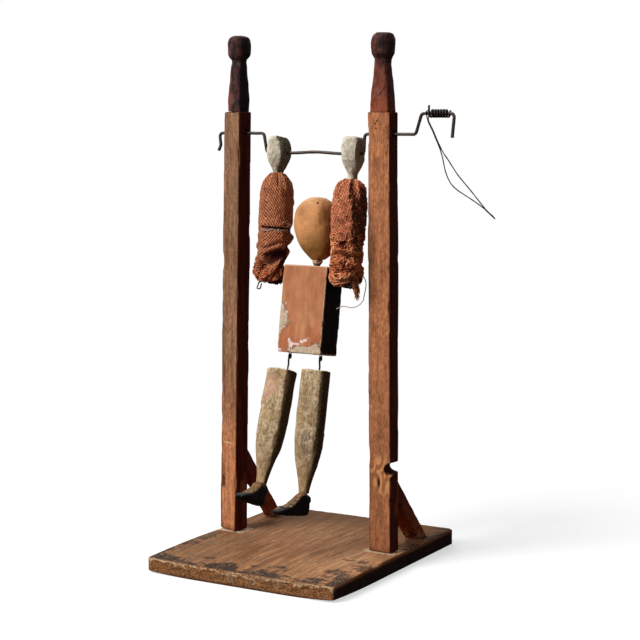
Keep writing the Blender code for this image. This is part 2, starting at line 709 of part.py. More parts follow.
def make_crank(looks):
    pivot = add_pivot("crank_pivot", (TORSO_X, POST_Y, AXLE_Z))
    turn = math.radians(LEFT_POST_YAW)
    post_half = POST_WIDTH / 2 * math.cos(turn) + POST_DEPTH / 2 * abs(math.sin(turn))
    tail = LEFT_POST_AT_AXLE_X - post_half - TAIL_GAP
    outer = RIGHT_POST_AT_AXLE_X + CRANK_OVERHANG
    grip = outer + OUTER_LEG_RUN
    corners = (
        (tail - TAIL_KINK_RUN, 0, -TAIL_DROP),
        (tail + TAIL_KINK_RUN, 0, -TAIL_KINK_HEIGHT),
        (tail, 0, 0),
        (LEFT_LEG_OF_CRANK_X - INNER_LEG_RUN / 2, 0, 0),
        (LEFT_LEG_OF_CRANK_X + INNER_LEG_RUN / 2, 0, -INNER_THROW),
        (RIGHT_LEG_OF_CRANK_X - INNER_LEG_RUN / 4, 0, -INNER_THROW),
        (RIGHT_LEG_OF_CRANK_X, 0, 0),
        (outer, 0, 0),
        (grip, 0, OUTER_THROW),
        (grip + GRIP_LENGTH, 0, OUTER_THROW),
        (grip + GRIP_LENGTH - HOOK_RUN, 0, OUTER_THROW - HOOK_DROP),
    )
    path = rounded_path(corners, CRANK_BEND_RADIUS, CRANK_BEND_STEPS)
    wire("crank_wire", path, CRANK_WIRE, looks["wire"], pivot, 3)
    return pivot


def winding_path():
    """A helix about the grip with a straight end tangent to it at each side."""
    radius = CRANK_WIRE / 2 + WINDING_CLEARANCE + WINDING_WIRE / 2
    count = round(WINDING_TURNS * WINDING_POINTS_PER_TURN)
    path = [Vector((0, -radius, WINDING_STUB))]
    for step in range(count + 1):
        angle = 2 * math.pi * step / WINDING_POINTS_PER_TURN
        along = WINDING_PITCH * step / WINDING_POINTS_PER_TURN
        path.append(Vector((along, -radius * math.cos(angle), -radius * math.sin(angle))))
    last = path[-1]
    heading = (last - path[-2]).normalized()
    heading.x = 0
    path.append(last + heading.normalized() * WINDING_TAIL)
    return path


def print_winding_gap(path):
    """Prints the least gap between the winding's own turns, measured on its points."""
    near = WINDING_POINTS_PER_TURN // 2
    least = min(
        (one - other).length
        for index, one in enumerate(path)
        for other in path[index + near:]
    )
    print("grip winding: least gap to itself", round((least - WINDING_WIRE) * 1000, 3), "mm")


def make_winding(looks, pivot):
    path = winding_path()
    print_winding_gap(path)
    item = wire("grip_winding", path, WINDING_WIRE, looks["winding"], pivot, 1)
    start = GRIP_START_X - TORSO_X + WINDING_START
    item.location = (start, 0, OUTER_THROW)


def make_pull_wire(looks, crank_pivot):
    """A long closed loop of thin wire whose bight hangs over the grip."""
    place = (GRIP_START_X - TORSO_X + PULL_START, 0, OUTER_THROW)
    pivot = add_pivot("pull_wire_pivot", place, parent=crank_pivot)
    around = CRANK_WIRE / 2 + PULL_CLEARANCE + PULL_WIRE / 2
    beside = (PULL_WIRE + PULL_STRAND_GAP) / 2
    points = []
    for angle in (-20, 20, 55, 90, 125, 160, 200):
        turn = math.radians(angle)
        points.append((0, around * math.cos(turn), around * math.sin(turn)))
    for along, down in PULL_FRONT_SHARES:
        points.append((along * PULL_REACH, -beside, -down * PULL_DROP))
    points.append((PULL_REACH, 0, -PULL_DROP))
    for along, down in reversed(PULL_BACK_SHARES):
        points.append((along * PULL_REACH, beside, -down * PULL_DROP))
    wire("pull_wire", smooth_path(points, PULL_STEPS, True), PULL_WIRE, looks["wire"], pivot, 1, True)
    return pivot


def arm_shift(along):
    """Sideways place of an arm's centre at a distance down from the bar, against its shoulder."""
    return ARM_SHIFT_AT_HAND * (1 - along / ARM_LENGTH)


def make_arm(side, shoulder_x, hand_width, looks, crank_pivot):
    """Hand and arm carved from one stick, with its origin on the bar that the hand holds."""
    pivot = add_pivot(side + "_arm_pivot", (shoulder_x, 0, -INNER_THROW), (ARM_LEAN, 0, 0), crank_pivot)
    wrist = HAND_HEIGHT - HAND_ABOVE_BAR
    rows = [
        (along * HAND_HEIGHT - HAND_ABOVE_BAR, width * hand_width, depth * HAND_DEPTH, HAND_SQUARENESS)
        for along, width, depth in HAND_SHARES
    ]
    rows += [
        (wrist, WRIST_WIDTH, WRIST_DEPTH, 2.6),
        (wrist + WRIST_DEPTH, WRIST_WIDTH, WRIST_DEPTH, 2.4),
        (wrist + 2 * ARM_DEPTH, ARM_WIDTH, ARM_DEPTH, 2.6),
        (ARM_LENGTH, ARM_WIDTH, ARM_DEPTH, 2.6),
        (ARM_LENGTH + ARM_END, ARM_WIDTH - ARM_END / 2, ARM_DEPTH - ARM_END / 2, 2.6),
    ]
    rings = []
    for along, width, depth, power in rows:
        section = round_section(width / 2, depth / 2, power, ARM_SIDES)
        rings.append([Vector((arm_shift(along) + x, y, -along)) for x, y in section])
    name = side + "_arm"
    arm = add_object(name, smooth(loft(rings, name), 40), looks["hand"], pivot)

    hole = CRANK_WIRE + 2 * RUNNING_CLEARANCE
    start = ARM_SHIFT_AT_HAND - hand_width
    drill(arm, side + "_bar_hole", (start, 0, 0), (start + 2 * hand_width, 0, 0), hole)
    hole = SHOULDER_WIRE + 2 * RUNNING_CLEARANCE
    drill(arm, side + "_shoulder_hole", (-ARM_WIDTH, 0, -ARM_LENGTH), (ARM_WIDTH, 0, -ARM_LENGTH), hole)
    return pivot


def make_sleeve(side, width, depth, start, shares, looks, pivot):
    """An open cloth tube, gathered at the wrist and creased towards the shoulder."""
    length = ARM_LENGTH + ARM_END - start
    cuff_x = WRIST_WIDTH / 2 + CUFF_CLEARANCE + SLEEVE_THICKNESS
    cuff_y = WRIST_DEPTH / 2 + CUFF_CLEARANCE + SLEEVE_THICKNESS
    outwards = -1 if side == "left" else 1
    rows = [(0.0, 2 * cuff_x / width, 2 * cuff_y / depth, 0.0, 0.0, 0.0), *shares]
    rings = []
    for along, width_share, depth_share, fold_share, outward_share, forward_share in rows:
        section = round_section(width_share * width / 2, depth_share * depth / 2, 3, SLEEVE_SIDES)
        ring = []
        for step, (x, y) in enumerate(section):
            angle = 2 * math.pi * (step + 0.5) / SLEEVE_SIDES
            wave = SLEEVE_FOLDS_AROUND * angle + 2 * math.pi * SLEEVE_FOLD_TURNS * along
            fold = SLEEVE_FOLD * fold_share * (1 - math.cos(wave)) / 2
            reach = math.hypot(x, y)
            inward = 1 - fold / reach
            rise = HEM_RISE_OUTSIDE if x * outwards > 0 else HEM_RISE_INSIDE
            rise *= math.cos(angle) ** 2 * along * max(0.0, 2 * along - 1)
            down = start + along * length
            across = arm_shift(down) + outwards * outward_share * width + x * inward
            ring.append(Vector((across, y * inward - forward_share * depth, rise - down)))
        rings.append(ring)
    name = side + "_sleeve"
    sleeve = add_object(name, smooth(loft(rings, name, False), 180), looks["cloth"], pivot)
    thick = sleeve.modifiers.new("cloth thickness", "SOLIDIFY")
    thick.thickness = SLEEVE_THICKNESS
    thick.offset = -1
    return sleeve


def make_torso(looks, left_arm_pivot):
    place = (TORSO_X, SHOULDER_Y, SHOULDER_Z)
    pivot = add_pivot("torso_pivot", place, (TORSO_LEAN, 0, 0))
    mesh = box_mesh(TORSO_WIDTH, TORSO_DEPTH, TORSO_HEIGHT, "torso_block")
    mesh.transform(Matrix.Translation((0, 0, SHOULDER_BELOW_TOP - TORSO_HEIGHT / 2)))
    torso = add_object("torso_block", mesh, looks["torso"], pivot)
    bevel(torso, TORSO_EDGE_ROUND)
    hole = SHOULDER_WIRE + 2 * SEAT_GAP
    drill(torso, "torso_wire_hole", (-TORSO_WIDTH, 0, 0), (TORSO_WIDTH, 0, 0), hole)
    hole = NECK_DOWEL_DIAMETER + 2 * SEAT_GAP
    neck = neck_frame()
    depth = NECK_DOWEL_LENGTH + 2 * SEAT_GAP
    drill(torso, "torso_neck_hole", neck @ Vector((0, 0, CUT_OVERRUN)), neck @ Vector((0, 0, -depth)), hole)
    return pivot, torso


def neck_frame():
    """The neck's own frame on the top of the torso, tilted as the head is."""
    place = Matrix.Translation((NECK_SHIFT, 0, SHOULDER_BELOW_TOP + SEAT_GAP))
    return place @ Matrix.Rotation(math.radians(HEAD_TILT), 4, "Y")


def make_head(looks, pivot):
    dowel = NECK_DOWEL_DIAMETER / 2
    lift = NECK_FOOT_DIAMETER / 2 * math.sin(math.radians(abs(HEAD_TILT)))
    profile = (
        (dowel, -NECK_DOWEL_LENGTH),
        (dowel, lift),
        (NECK_FOOT_DIAMETER / 2, lift),
        (NECK_TOP_DIAMETER / 2, NECK_HEIGHT),
        (dowel, NECK_HEIGHT),
        (dowel, NECK_HEIGHT + NECK_DOWEL_LENGTH),
    )
    neck = add_object("neck_peg", turned(profile, NECK_SIDES, "neck_peg"), looks["neck"], pivot)
    neck.matrix_local = neck_frame()

    widest = HEAD_HEIGHT * HEAD_WIDEST_SHARE
    radius = HEAD_DIAMETER / 2
    low = radius * HEAD_FLAT_SHARE
    rows = []
    for step in range(HEAD_RINGS + 1):
        share = 1 - step / HEAD_RINGS
        height = HEAD_HEIGHT * (1 - share ** 1.3) if share < 1 else 0
        if height < widest:
            below = (widest - height) / widest
            rows.append((max(radius * (1 - below ** 1.6) ** 0.6, low), height))
        else:
            above = (height - widest) / (HEAD_HEIGHT - widest)
            rows.append((max(radius * (1 - above ** 2.3) ** 0.48, low / 2), height))
    base = NECK_HEIGHT + SEAT_GAP
    profile = [(reach, base + height) for reach, height in rows]
    head = add_object("head", turned(profile, HEAD_SIDES, "head"), looks["head"], pivot)
    head.matrix_local = neck_frame()
    hole = NECK_DOWEL_DIAMETER + 2 * SEAT_GAP
    depth = NECK_HEIGHT + NECK_DOWEL_LENGTH + SEAT_GAP
    drill(head, "head_neck_hole", (0, 0, base - CUT_OVERRUN), (0, 0, depth), hole)


def make_shoulder_wire(looks, pivot):
    """A straight wire with an open loop at its left end and a round curl at its right end."""
    left = LEFT_SHOULDER_X - SHOULDER_LOOP_REACH
    right = RIGHT_SHOULDER_X + ARM_WIDTH / 2 + SHOULDER_CURL_GAP
    corners = (
        (left + SHOULDER_LOOP_WIDTH - SHOULDER_LOOP_RUN / 2, 0, -SHOULDER_LOOP_LENGTH / 3),
        (left + SHOULDER_LOOP_WIDTH - SHOULDER_LOOP_RUN, 0, -SHOULDER_LOOP_LENGTH),
        (left - SHOULDER_LOOP_RUN, 0, -SHOULDER_LOOP_LENGTH),
        (left, 0, 0),
        (0, 0, 0),
    )
    path = rounded_path(corners, SHOULDER_WIRE_BEND, 4)
    centre = Vector((right, 0, -SHOULDER_CURL_RADIUS))
    for step in range(16):
        turn = math.radians(90 - 19 * step)
        reach = Vector((math.cos(turn), 0, math.sin(turn)))
        path.append(centre + SHOULDER_CURL_RADIUS * reach)
    wire("shoulder_wire", path, SHOULDER_WIRE, looks["wire"], pivot, 1)


def hip_x(side):
    return HIP_SHIFT + (-HIP_SPACING / 2 if side == "left" else HIP_SPACING / 2)


def make_staple(side, looks, pivot, torso):
    """A wire staple driven into the torso's underside, whose crosswise run is the hip's axis."""
    under = SHOULDER_BELOW_TOP - TORSO_HEIGHT
    axis = under - HIP_DROP
    middle = hip_x(side)
    half = STAPLE_WIDTH / 2
    top = under + STAPLE_DEPTH
    corners = (
        (middle - half, 0, top), (middle - half, 0, axis), (middle + half, 0, axis), (middle + half, 0, top),
    )
    path = rounded_path(corners, HIP_WIRE, 4)
    wire(side + "_hip_staple", path, HIP_WIRE, looks["wire"], pivot)
    for end, label in ((-half, "outer"), (half, "inner")):
        start = (middle + end, 0, under - CUT_OVERRUN)
        stop = (middle + end, 0, top + SEAT_GAP)
        name = side + "_" + label + "_staple_hole"
        drill(torso, name, start, stop, HIP_WIRE + 2 * SEAT_GAP)


def make_leg(side, lean, start, length, shift, looks, torso_pivot):
    """Leg, boot and hip wire, with their shared origin on the staple's crosswise run."""
    under = SHOULDER_BELOW_TOP - TORSO_HEIGHT
    place = (hip_x(side), 0, under - HIP_DROP)
    pivot = add_pivot(side + "_hip_pivot", place, (lean - TORSO_LEAN, 0, 0), torso_pivot)

    rings = []
    for along, share in LEG_SHARES:
        radius = share * LEG_DIAMETER / 2
        section = round_section(radius, radius, 2.15, LEG_SIDES)
        rings.append([Vector((shift + x, y, -start - along * length)) for x, y in section])
    name = side + "_leg"
    leg = add_object(name, smooth(loft(rings, name), 50), looks["leg"], pivot)

    path = hip_wire_path(start + HIP_WIRE_DEPTH)
    wire(side + "_hip_wire", path, HIP_WIRE, looks["wire"], pivot)
    hole = HIP_WIRE + 2 * SEAT_GAP
    mouth = (0, 0, -start + CUT_OVERRUN)
    drill(leg, side + "_hip_wire_hole", mouth, (0, 0, -start - HIP_WIRE_DEPTH - SEAT_GAP), hole)

    make_boot(side, shift, start + length + SEAT_GAP, looks, pivot, leg)
    return pivot


def hip_wire_path(depth):
    """A straight shank whose upper end is bent round into an eye about the hip's axis."""
    radius = HIP_EYE_RADIUS
    path = [Vector((0, 0, -depth)), Vector((0, 0, -4 * radius)), Vector((0, -radius / 2, -2.6 * radius))]
    for step in range(18):
        turn = math.radians(195 - 16 * step)
        path.append(Vector((0, radius * math.cos(turn), radius * math.sin(turn))))
    return path


def make_boot(side, shift, top, looks, pivot, leg):
    rings = []
    for along, high, low, width in BOOT_SHARES:
        y = BOOT_HEEL - along * BOOT_LENGTH
        middle = (high + low) / 2 * BOOT_HEIGHT - BOOT_HEIGHT
        half_z = (high - low) / 2 * BOOT_HEIGHT
        section = round_section(width * BOOT_WIDTH / 2, half_z, 3.4, BOOT_SIDES)
        rings.append([Vector((x, y, middle + z)) for x, z in section])
    name = side + "_boot"
    turn = BOOT_TURN if side == "left" else -BOOT_TURN
    mesh = smooth(loft(rings, name), 45)
    boot = add_object(name, mesh, looks["boot"], pivot, (shift, 0, -top), (0, 0, turn))

    head = (shift, 0, -top - BOOT_HEIGHT + SEAT_GAP)
    name = side + "_boot_nail"
    nail(name, head, (0, 0, 1), BOOT_NAIL_LENGTH, looks["steel"], pivot)
    drill_for_nail(boot, name + "_in_boot", head, (0, 0, 1), BOOT_NAIL_LENGTH, pivot, CUT_OVERRUN)
    drill_for_nail(leg, name + "_in_leg", head, (0, 0, 1), BOOT_NAIL_LENGTH, pivot, 0)


def thread_route():
    """The loose thread's own points: off the sleeve's outer side near its hem, then down and back under it."""
    start = Vector((
        TORSO_X + RIGHT_SHOULDER_X + RIGHT_SLEEVE_WIDTH / 2 * THREAD_START_SHARE,
        SHOULDER_Y + THREAD_REACH / 4,
        SHOULDER_Z + THREAD_REACH / 3,
    ))
    return [start + THREAD_REACH * Vector(share) for share in THREAD_ROUTE_SHARES]


def make_thread(looks):
    wire("sleeve_thread", smooth_path(thread_route(), THREAD_STEPS), THREAD, looks["thread"])


def make_looks():
    return {
        "board": finish("worn board", (0.30, 0.17, 0.09), 0.75),
        "post": finish("bare post wood", (0.37, 0.19, 0.11), 0.65),
        "finial": finish("dark turned wood", (0.10, 0.045, 0.03), 0.5),
        "brace": finish("red brown wood", (0.17, 0.055, 0.03), 0.6),
        "steel": finish("nail steel", (0.22, 0.19, 0.17), 0.5, 0.9),
        "wire": finish("dark crank wire", (0.13, 0.11, 0.10), 0.42, 0.9),
        "winding": finish("grip winding wire", (0.16, 0.13, 0.11), 0.45, 0.9),
        "hand": finish("cream painted wood", (0.60, 0.52, 0.40), 0.6),
        "cloth": finish("red brown wool", (0.30, 0.105, 0.065), 0.95),
        "torso": finish("salmon painted wood", (0.53, 0.26, 0.16), 0.55),
        "neck": finish("pale peg wood", (0.66, 0.60, 0.50), 0.6),
        "head": finish("tan painted wood", (0.50, 0.24, 0.09), 0.45),
        "leg": finish("mottled tan paint", (0.44, 0.33, 0.19), 0.6),
        "boot": finish("black boot paint", (0.035, 0.035, 0.035), 0.45),
        "thread": finish("pale thread", (0.42, 0.36, 0.28), 0.9),
    }


def main():
    clear_scene()
    looks = make_looks()
    board = make_base(looks)
    left_post = make_post("left", LEFT_FOOT_X, LEFT_POST_LEAN, LEFT_POST_YAW, looks, board)
    right_post = make_post("right", RIGHT_FOOT_X, RIGHT_POST_LEAN, RIGHT_POST_YAW, looks, board)
    cut_knot(right_post)
    make_finial("left", LEFT_FOOT_X, LEFT_POST_LEAN, LEFT_POST_YAW, looks)
    make_finial("right", RIGHT_FOOT_X, RIGHT_POST_LEAN, RIGHT_POST_YAW, looks)
    make_brace(
        "left", LEFT_FOOT_X, LEFT_POST_LEAN, LEFT_POST_YAW, LEFT_BRACE_WIDTH, LEFT_BRACE_THICKNESS,
        LEFT_BRACE_REACH, LEFT_BRACE_RISE, LEFT_BRACE_OFFSET, LEFT_BRACE_SKEW, looks, board, left_post,
    )
    make_brace(
        "right", RIGHT_FOOT_X, RIGHT_POST_LEAN, RIGHT_POST_YAW, RIGHT_BRACE_WIDTH, RIGHT_BRACE_THICKNESS,
        RIGHT_BRACE_REACH, RIGHT_BRACE_RISE, RIGHT_BRACE_OFFSET, RIGHT_BRACE_SKEW, looks, board, right_post,
    )

    crank = make_crank(looks)
    make_winding(looks, crank)
    make_pull_wire(looks, crank)

    left_arm = make_arm("left", LEFT_SHOULDER_X, LEFT_HAND_WIDTH, looks, crank)
    right_arm = make_arm("right", RIGHT_SHOULDER_X, RIGHT_HAND_WIDTH, looks, crank)
    make_sleeve(
        "left", LEFT_SLEEVE_WIDTH, LEFT_SLEEVE_DEPTH, LEFT_SLEEVE_START, LEFT_SLEEVE_SHARES, looks, left_arm,
    )
    make_sleeve(
        "right", RIGHT_SLEEVE_WIDTH, RIGHT_SLEEVE_DEPTH, RIGHT_SLEEVE_START, RIGHT_SLEEVE_SHARES, looks,
        right_arm,
    )

    torso_pivot, torso = make_torso(looks, left_arm)
    make_head(looks, torso_pivot)
    make_shoulder_wire(looks, torso_pivot)
    for side in ("left", "right"):
        make_staple(side, looks, torso_pivot, torso)
    make_leg("left", LEFT_LEG_LEAN, LEFT_LEG_START, LEFT_LEG_LENGTH, LEFT_LEG_SHIFT, looks, torso_pivot)
    make_leg("right", RIGHT_LEG_LEAN, RIGHT_LEG_START, RIGHT_LEG_LENGTH, RIGHT_LEG_SHIFT, looks, torso_pivot)
    make_thread(looks)


main()
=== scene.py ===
"""Dresses the crank acrobat toy: carved wood, worn paint, wool sleeves, wire, studio light and camera."""

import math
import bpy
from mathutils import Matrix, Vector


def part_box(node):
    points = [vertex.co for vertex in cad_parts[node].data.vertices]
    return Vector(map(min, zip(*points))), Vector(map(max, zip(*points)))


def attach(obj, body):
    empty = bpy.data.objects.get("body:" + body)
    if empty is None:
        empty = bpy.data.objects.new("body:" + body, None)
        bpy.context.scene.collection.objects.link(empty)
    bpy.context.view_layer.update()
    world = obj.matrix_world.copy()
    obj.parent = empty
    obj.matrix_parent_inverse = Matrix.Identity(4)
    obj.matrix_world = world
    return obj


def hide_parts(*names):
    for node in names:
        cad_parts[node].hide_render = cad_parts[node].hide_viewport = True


bl_info = {
    "name": "Crank acrobat toy",
    "version": (1, 0, 0),
    "blender": (4, 5, 0),
    "location": "View3D > Sidebar > Toy",
    "description": "Carves, paints and clothes a hand-cranked wooden acrobat on its plank base",
    "category": "Object",
}

import bpy
import numpy as np
from mathutils import Vector

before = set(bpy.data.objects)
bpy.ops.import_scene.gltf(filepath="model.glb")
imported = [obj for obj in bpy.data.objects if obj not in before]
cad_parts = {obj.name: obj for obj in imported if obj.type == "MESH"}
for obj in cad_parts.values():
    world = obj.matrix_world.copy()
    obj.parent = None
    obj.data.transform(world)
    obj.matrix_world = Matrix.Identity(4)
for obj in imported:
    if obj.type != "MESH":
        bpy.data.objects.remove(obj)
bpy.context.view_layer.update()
MM = 0.001


def colour_field(name, description, *picked):
    """A colour given on a 0 to 255 scale."""
    default = [part / 255 for part in picked]
    return bpy.props.FloatVectorProperty(
        name=name, description=description, subtype="COLOR_GAMMA", size=3, min=0, max=1, default=default
    )


def length_field(name, description, value):
    kind = {"subtype": "DISTANCE", "unit": "LENGTH", "min": 0, "precision": 5}
    return bpy.props.FloatProperty(name=name, description=description, default=value, **kind)


class ToyColours(bpy.types.PropertyGroup):
    """The toy's colours, with the painted shade of the posts' sides and the sleeves' folds."""

    plank: colour_field("Plank", "Worn plank of the base", 150, 106, 72)
    plank_dark: colour_field("Plank wear", "Dirt along the plank's edges", 42, 37, 36)
    end_grain: colour_field("End grain", "Rough sawn front end of the plank", 140, 98, 62)
    post: colour_field("Posts", "Reddish bare wood of the posts", 166, 107, 72)
    post_grey: colour_field("Post weathering", "Greyer wood high on the left post", 132, 96, 71)
    # Painted shade, dark red, on the posts' right sides
    post_shade: colour_field("Post sides", "Dark red stain left on the posts' right sides", 66, 20, 14)
    finial: colour_field("Finials", "Blue-black paint of the finials", 40, 34, 36)
    finial_worn: colour_field("Finial wear", "Red-brown wood through the finials' paint", 124, 66, 50)
    brace: colour_field("Braces", "Dark red-brown braces", 84, 30, 20)
    cream: colour_field("Cream paint", "Worn cream paint of the hands", 192, 181, 160)
    cream_worn: colour_field("Cream wear", "Orange wood through the cream paint", 150, 96, 58)
    sleeve: colour_field("Sleeves", "Red-brown wool twill", 176, 108, 76)
    # Painted shade deep in the sleeves' folds, on their right sides and on the thread's top
    sleeve_shade: colour_field("Sleeve folds", "Wool deep in the folds", 44, 10, 7)
    yarn: colour_field("Frayed yarn", "Tan-orange wool curls of the frayed sleeve", 188, 104, 66)
    thread: colour_field("Loose thread", "Pale loose thread", 214, 200, 180)
    torso: colour_field("Torso", "Salmon paint of the torso", 174, 114, 80)
    torso_chip: colour_field("Torso chips", "Pale ground where the torso's paint is gone", 188, 172, 148)
    head: colour_field("Head", "Smooth tan paint of the head", 192, 133, 84)
    leg: colour_field("Legs", "Mottled tan paint of the legs", 184, 160, 128)
    leg_dark: colour_field("Leg mottling", "Olive patches on the legs", 112, 88, 60)
    boot: colour_field("Boots", "Worn black paint of the boots", 17, 14, 13)
    boot_worn: colour_field("Boot wear", "Olive-tan wood along the boots' ridges", 140, 112, 80)
    wire: colour_field("Wire", "Worn steel wire", 58, 50, 44)
    rust: colour_field("Rust", "Rust on nails and wire", 92, 56, 38)


class ToySizes(bpy.types.PropertyGroup):
    """Sizes of the finish, which leave the toy's own size alone."""

    voxel: length_field("Carving grain", "Smallest carved detail on the plank", 1.0 * MM)
    rib: length_field("Twill rib", "Distance between the ribs of the wool twill", 1.7 * MM)
    cloth: length_field("Cloth thickness", "Thickness of the wool", 0.8 * MM)
    plank_wear: length_field("Plank edge wear", "How far the plank's front edge is worn round", 2.6 * MM)
    curls: bpy.props.IntProperty(name="Curls", description="Curls on the frayed sleeve", min=0, default=420)
    key_power: bpy.props.FloatProperty(
        name="Key light", description="Power of the soft key light", subtype="POWER", unit="POWER", default=82
    )


def colours():
    return bpy.context.scene.toy_colours


def sizes():
    return bpy.context.scene.toy_sizes


# Materials


class Value:
    """A number or colour inside a material, so that sums on numbers are written as plain expressions."""

    def __init__(self, paint, socket):
        self.paint = paint
        self.socket = socket

    def work(self, operation, *parts):
        return self.paint.node("Math", {"operation": operation}, dict(enumerate(parts)))

    def output(self, key):
        """Another output of the same node."""
        return Value(self.paint, self.socket.node.outputs[key])

    def __add__(self, other):
        return self.work("ADD", self, other)

    def __sub__(self, other):
        return self.work("SUBTRACT", self, other)

    def __rsub__(self, other):
        return self.work("SUBTRACT", other, self)

    def __mul__(self, other):
        return self.work("MULTIPLY", self, other)

    def __abs__(self):
        return self.work("ABSOLUTE", self)

    def sine(self):
        return self.work("SINE", self)

    def most(self, other):
        return self.work("MAXIMUM", self, other)

    def rise(self, low, high):
        """0 below low and 1 above high, with a soft step between; low above high turns it round."""
        step = {0: self, 1: low, 2: high, 3: 0.0, 4: 1.0}
        return self.paint.node("MapRange", {"interpolation_type": "SMOOTHSTEP", "clamp": True}, step)


def hue(colour, share=1.0):
    """The shader's light values of a colour field, or of a colour given on a 0 to 255 scale."""
    if isinstance(colour, Value) or len(colour) == 4:
        return colour
    scale = 255 if max(colour) > 1 else 1
    values = []
    for part in colour:
        part = part / scale
        values.append((part / 12.92 if part <= 0.04045 else ((part + 0.055) / 1.055) ** 2.4) * share)
    return (*values, 1.0)


class Tree:
    """A tree of shader nodes."""

    def __init__(self, tree):
        self.tree = tree
        self.tree.nodes.clear()

    def node(self, kind, settings=None, inputs=None, output=0):
        """Adds a node: its settings first, then its sockets' values or links."""
        made = self.tree.nodes.new("ShaderNode" + kind)
        for name, value in (settings or {}).items():
            setattr(made, name, value)
        for name, value in (inputs or {}).items():
            socket = made.inputs[name]
            if isinstance(value, Value):
                self.tree.links.new(value.socket, socket)
            else:
                socket.default_value = value
        return Value(self, made.outputs[output]) if made.outputs else None


class Paint(Tree):
    """A procedural material whose patterns lie in a piece's own frame. Sizes, places and depths are in mm."""

    def __init__(self, name, place=(0, 0, 0), turn=(0, 0, 0)):
        self.material = bpy.data.materials.new(name)
        self.material.use_nodes = True
        super().__init__(self.material.node_tree)
        seat = {"Location": Vector(place) * MM, "Rotation": [math.radians(angle) for angle in turn]}
        seat["Vector"] = self.node("TexCoord", output="Object")
        self.where = self.node("Mapping", {"vector_type": "TEXTURE"}, seat)
        # Where a point of the piece lies is told in metres
        self.x = self.node("SeparateXYZ", inputs={0: self.where})
        self.y, self.z = self.x.output(1), self.x.output(2)

    def mask(self, name):
        """A number kept on the mesh, such as how worn an edge is."""
        return self.node("Attribute", {"attribute_type": "GEOMETRY", "attribute_name": name}, output=2)

    def mix(self, share, first, second, blend="MIX"):
        sockets = {0: share, 6: hue(first), 7: hue(second)}
        return self.node("Mix", {"data_type": "RGBA", "blend_type": blend}, sockets, 2)

    def coat(self, share, colour, light=1.0):
        """Lays a colour over what is painted so far."""
        self.colour = self.mix(share, self.colour, hue(colour, light))

    def shaded(self, colour, value):
        """A colour made lighter or darker by a number around 1."""
        grey = self.node("CombineXYZ", inputs={0: value, 1: value, 2: value})
        return self.mix(1.0, colour, grey, "MULTIPLY")

    def shade(self, value):
        self.colour = self.shaded(self.colour, value)

    def varied(self, colour, noise, amount):
        """A colour made lighter and darker by noise around a half."""
        return self.shaded(colour, noise * amount + (1 - 0.5 * amount))

    def vary(self, noise, amount):
        self.colour = self.varied(self.colour, noise, amount)

    def drawn(self, size, stretch, shift):
        scale = [1 / (size * MM * part) for part in stretch]
        move = {0: self.where, 1: scale, 2: (shift, shift * 0.7, shift * 1.3)}
        return self.node("VectorMath", {"operation": "MULTIPLY_ADD"}, move)

    def blotch(self, size, stretch=(1, 1, 1), detail=3.0, rough=0.55, shift=0.0, warp=0.0):
        """Soft noise about one size across, drawn out by its stretch."""
        place = {"Vector": self.drawn(size, stretch, shift), "Scale": 1.0, "Detail": detail}
        return self.node("TexNoise", {}, {**place, "Roughness": rough, "Distortion": warp})

    def cells(self, size, stretch=(1, 1, 1), shift=0.0):
        """Distance to scattered points about one size apart."""
        return self.node("TexVoronoi", {}, {"Vector": self.drawn(size, stretch, shift), "Scale": 1.0})

    def near(self, spot, radius, stretch=(1, 1, 1)):
        """1 at a spot, fading to 0 at its radius."""
        scale = [1 / (radius * MM * part) for part in stretch]
        shift = [-place * MM * part for place, part in zip(spot, scale)]
        offset = self.node("VectorMath", {"operation": "MULTIPLY_ADD"}, {0: self.where, 1: scale, 2: shift})
        return self.node("VectorMath", {"operation": "LENGTH"}, {0: offset}, 1).rise(1.0, 0.45)

    def finish(self, roughness, height, depth, shine, fixed=None):
        """Closes the material. Height is in depths; fixed holds what is the same all over."""
        sockets = {"Base Color": self.colour, "Roughness": roughness, "Specular IOR Level": shine}
        if height:
            bump = {"Strength": 1.0, "Distance": depth * MM, "Height": height}
            sockets["Normal"] = self.node("Bump", {}, bump)
        shader = self.node("BsdfPrincipled", {}, {**sockets, **(fixed or {})})
        self.node("OutputMaterial", {}, {"Surface": shader})
        return self.material


def grain(paint, along, fine=0.9, shift=0.0):
    """Wood fibres along an axis: fine lines and broader bands."""
    long_fine = [34 if axis == along else 1 for axis in range(3)]
    long_broad = [14 if axis == along else 1 for axis in range(3)]
    lines = paint.blotch(fine, long_fine, 4.0, 0.65, shift)
    bands = paint.blotch(4.0, long_broad, 3.0, 0.6, shift + 3.1, 0.8)
    return lines, bands


# Carving. Lengths are in mm.


def new_piece(name, data):
    piece = bpy.data.objects.new(name, data)
    bpy.context.scene.collection.objects.link(piece)
    return piece


def only(piece):
    """Makes a piece the one that is selected and worked on."""
    bpy.ops.object.select_all(action="DESELECT")
    piece.select_set(True)
    bpy.context.view_layer.objects.active = piece


def mend(piece, work, **settings):
    """Runs a mesh operator on all of a piece."""
    only(piece)
    bpy.ops.object.mode_set(mode="EDIT")
    bpy.ops.mesh.select_all(action="SELECT")
    work(**settings)
    bpy.ops.object.mode_set(mode="OBJECT")


def apply(piece, kind, **settings):
    only(piece)
    modifier = piece.modifiers.new(kind, kind)
    for name, value in settings.items():
        setattr(modifier, name, value)
    bpy.ops.object.modifier_apply(modifier=modifier.name)


def smooth(piece, rounds, factor=0.5):
    apply(piece, "SMOOTH", factor=factor, iterations=rounds)


def clay(node, voxel, rounds, name=None):
    """A carved copy of a CAD piece on an even skin, its edges rubbed round."""
    piece = new_piece(name or node + "_wood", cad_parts[node].data.copy())
    piece.data.materials.clear()
    mend(piece, bpy.ops.mesh.remove_doubles, threshold=0.004 * MM)
    apply(piece, "REMESH", mode="VOXEL", voxel_size=voxel * MM, adaptivity=0, use_smooth_shade=True)
    smooth(piece, rounds)
    return piece


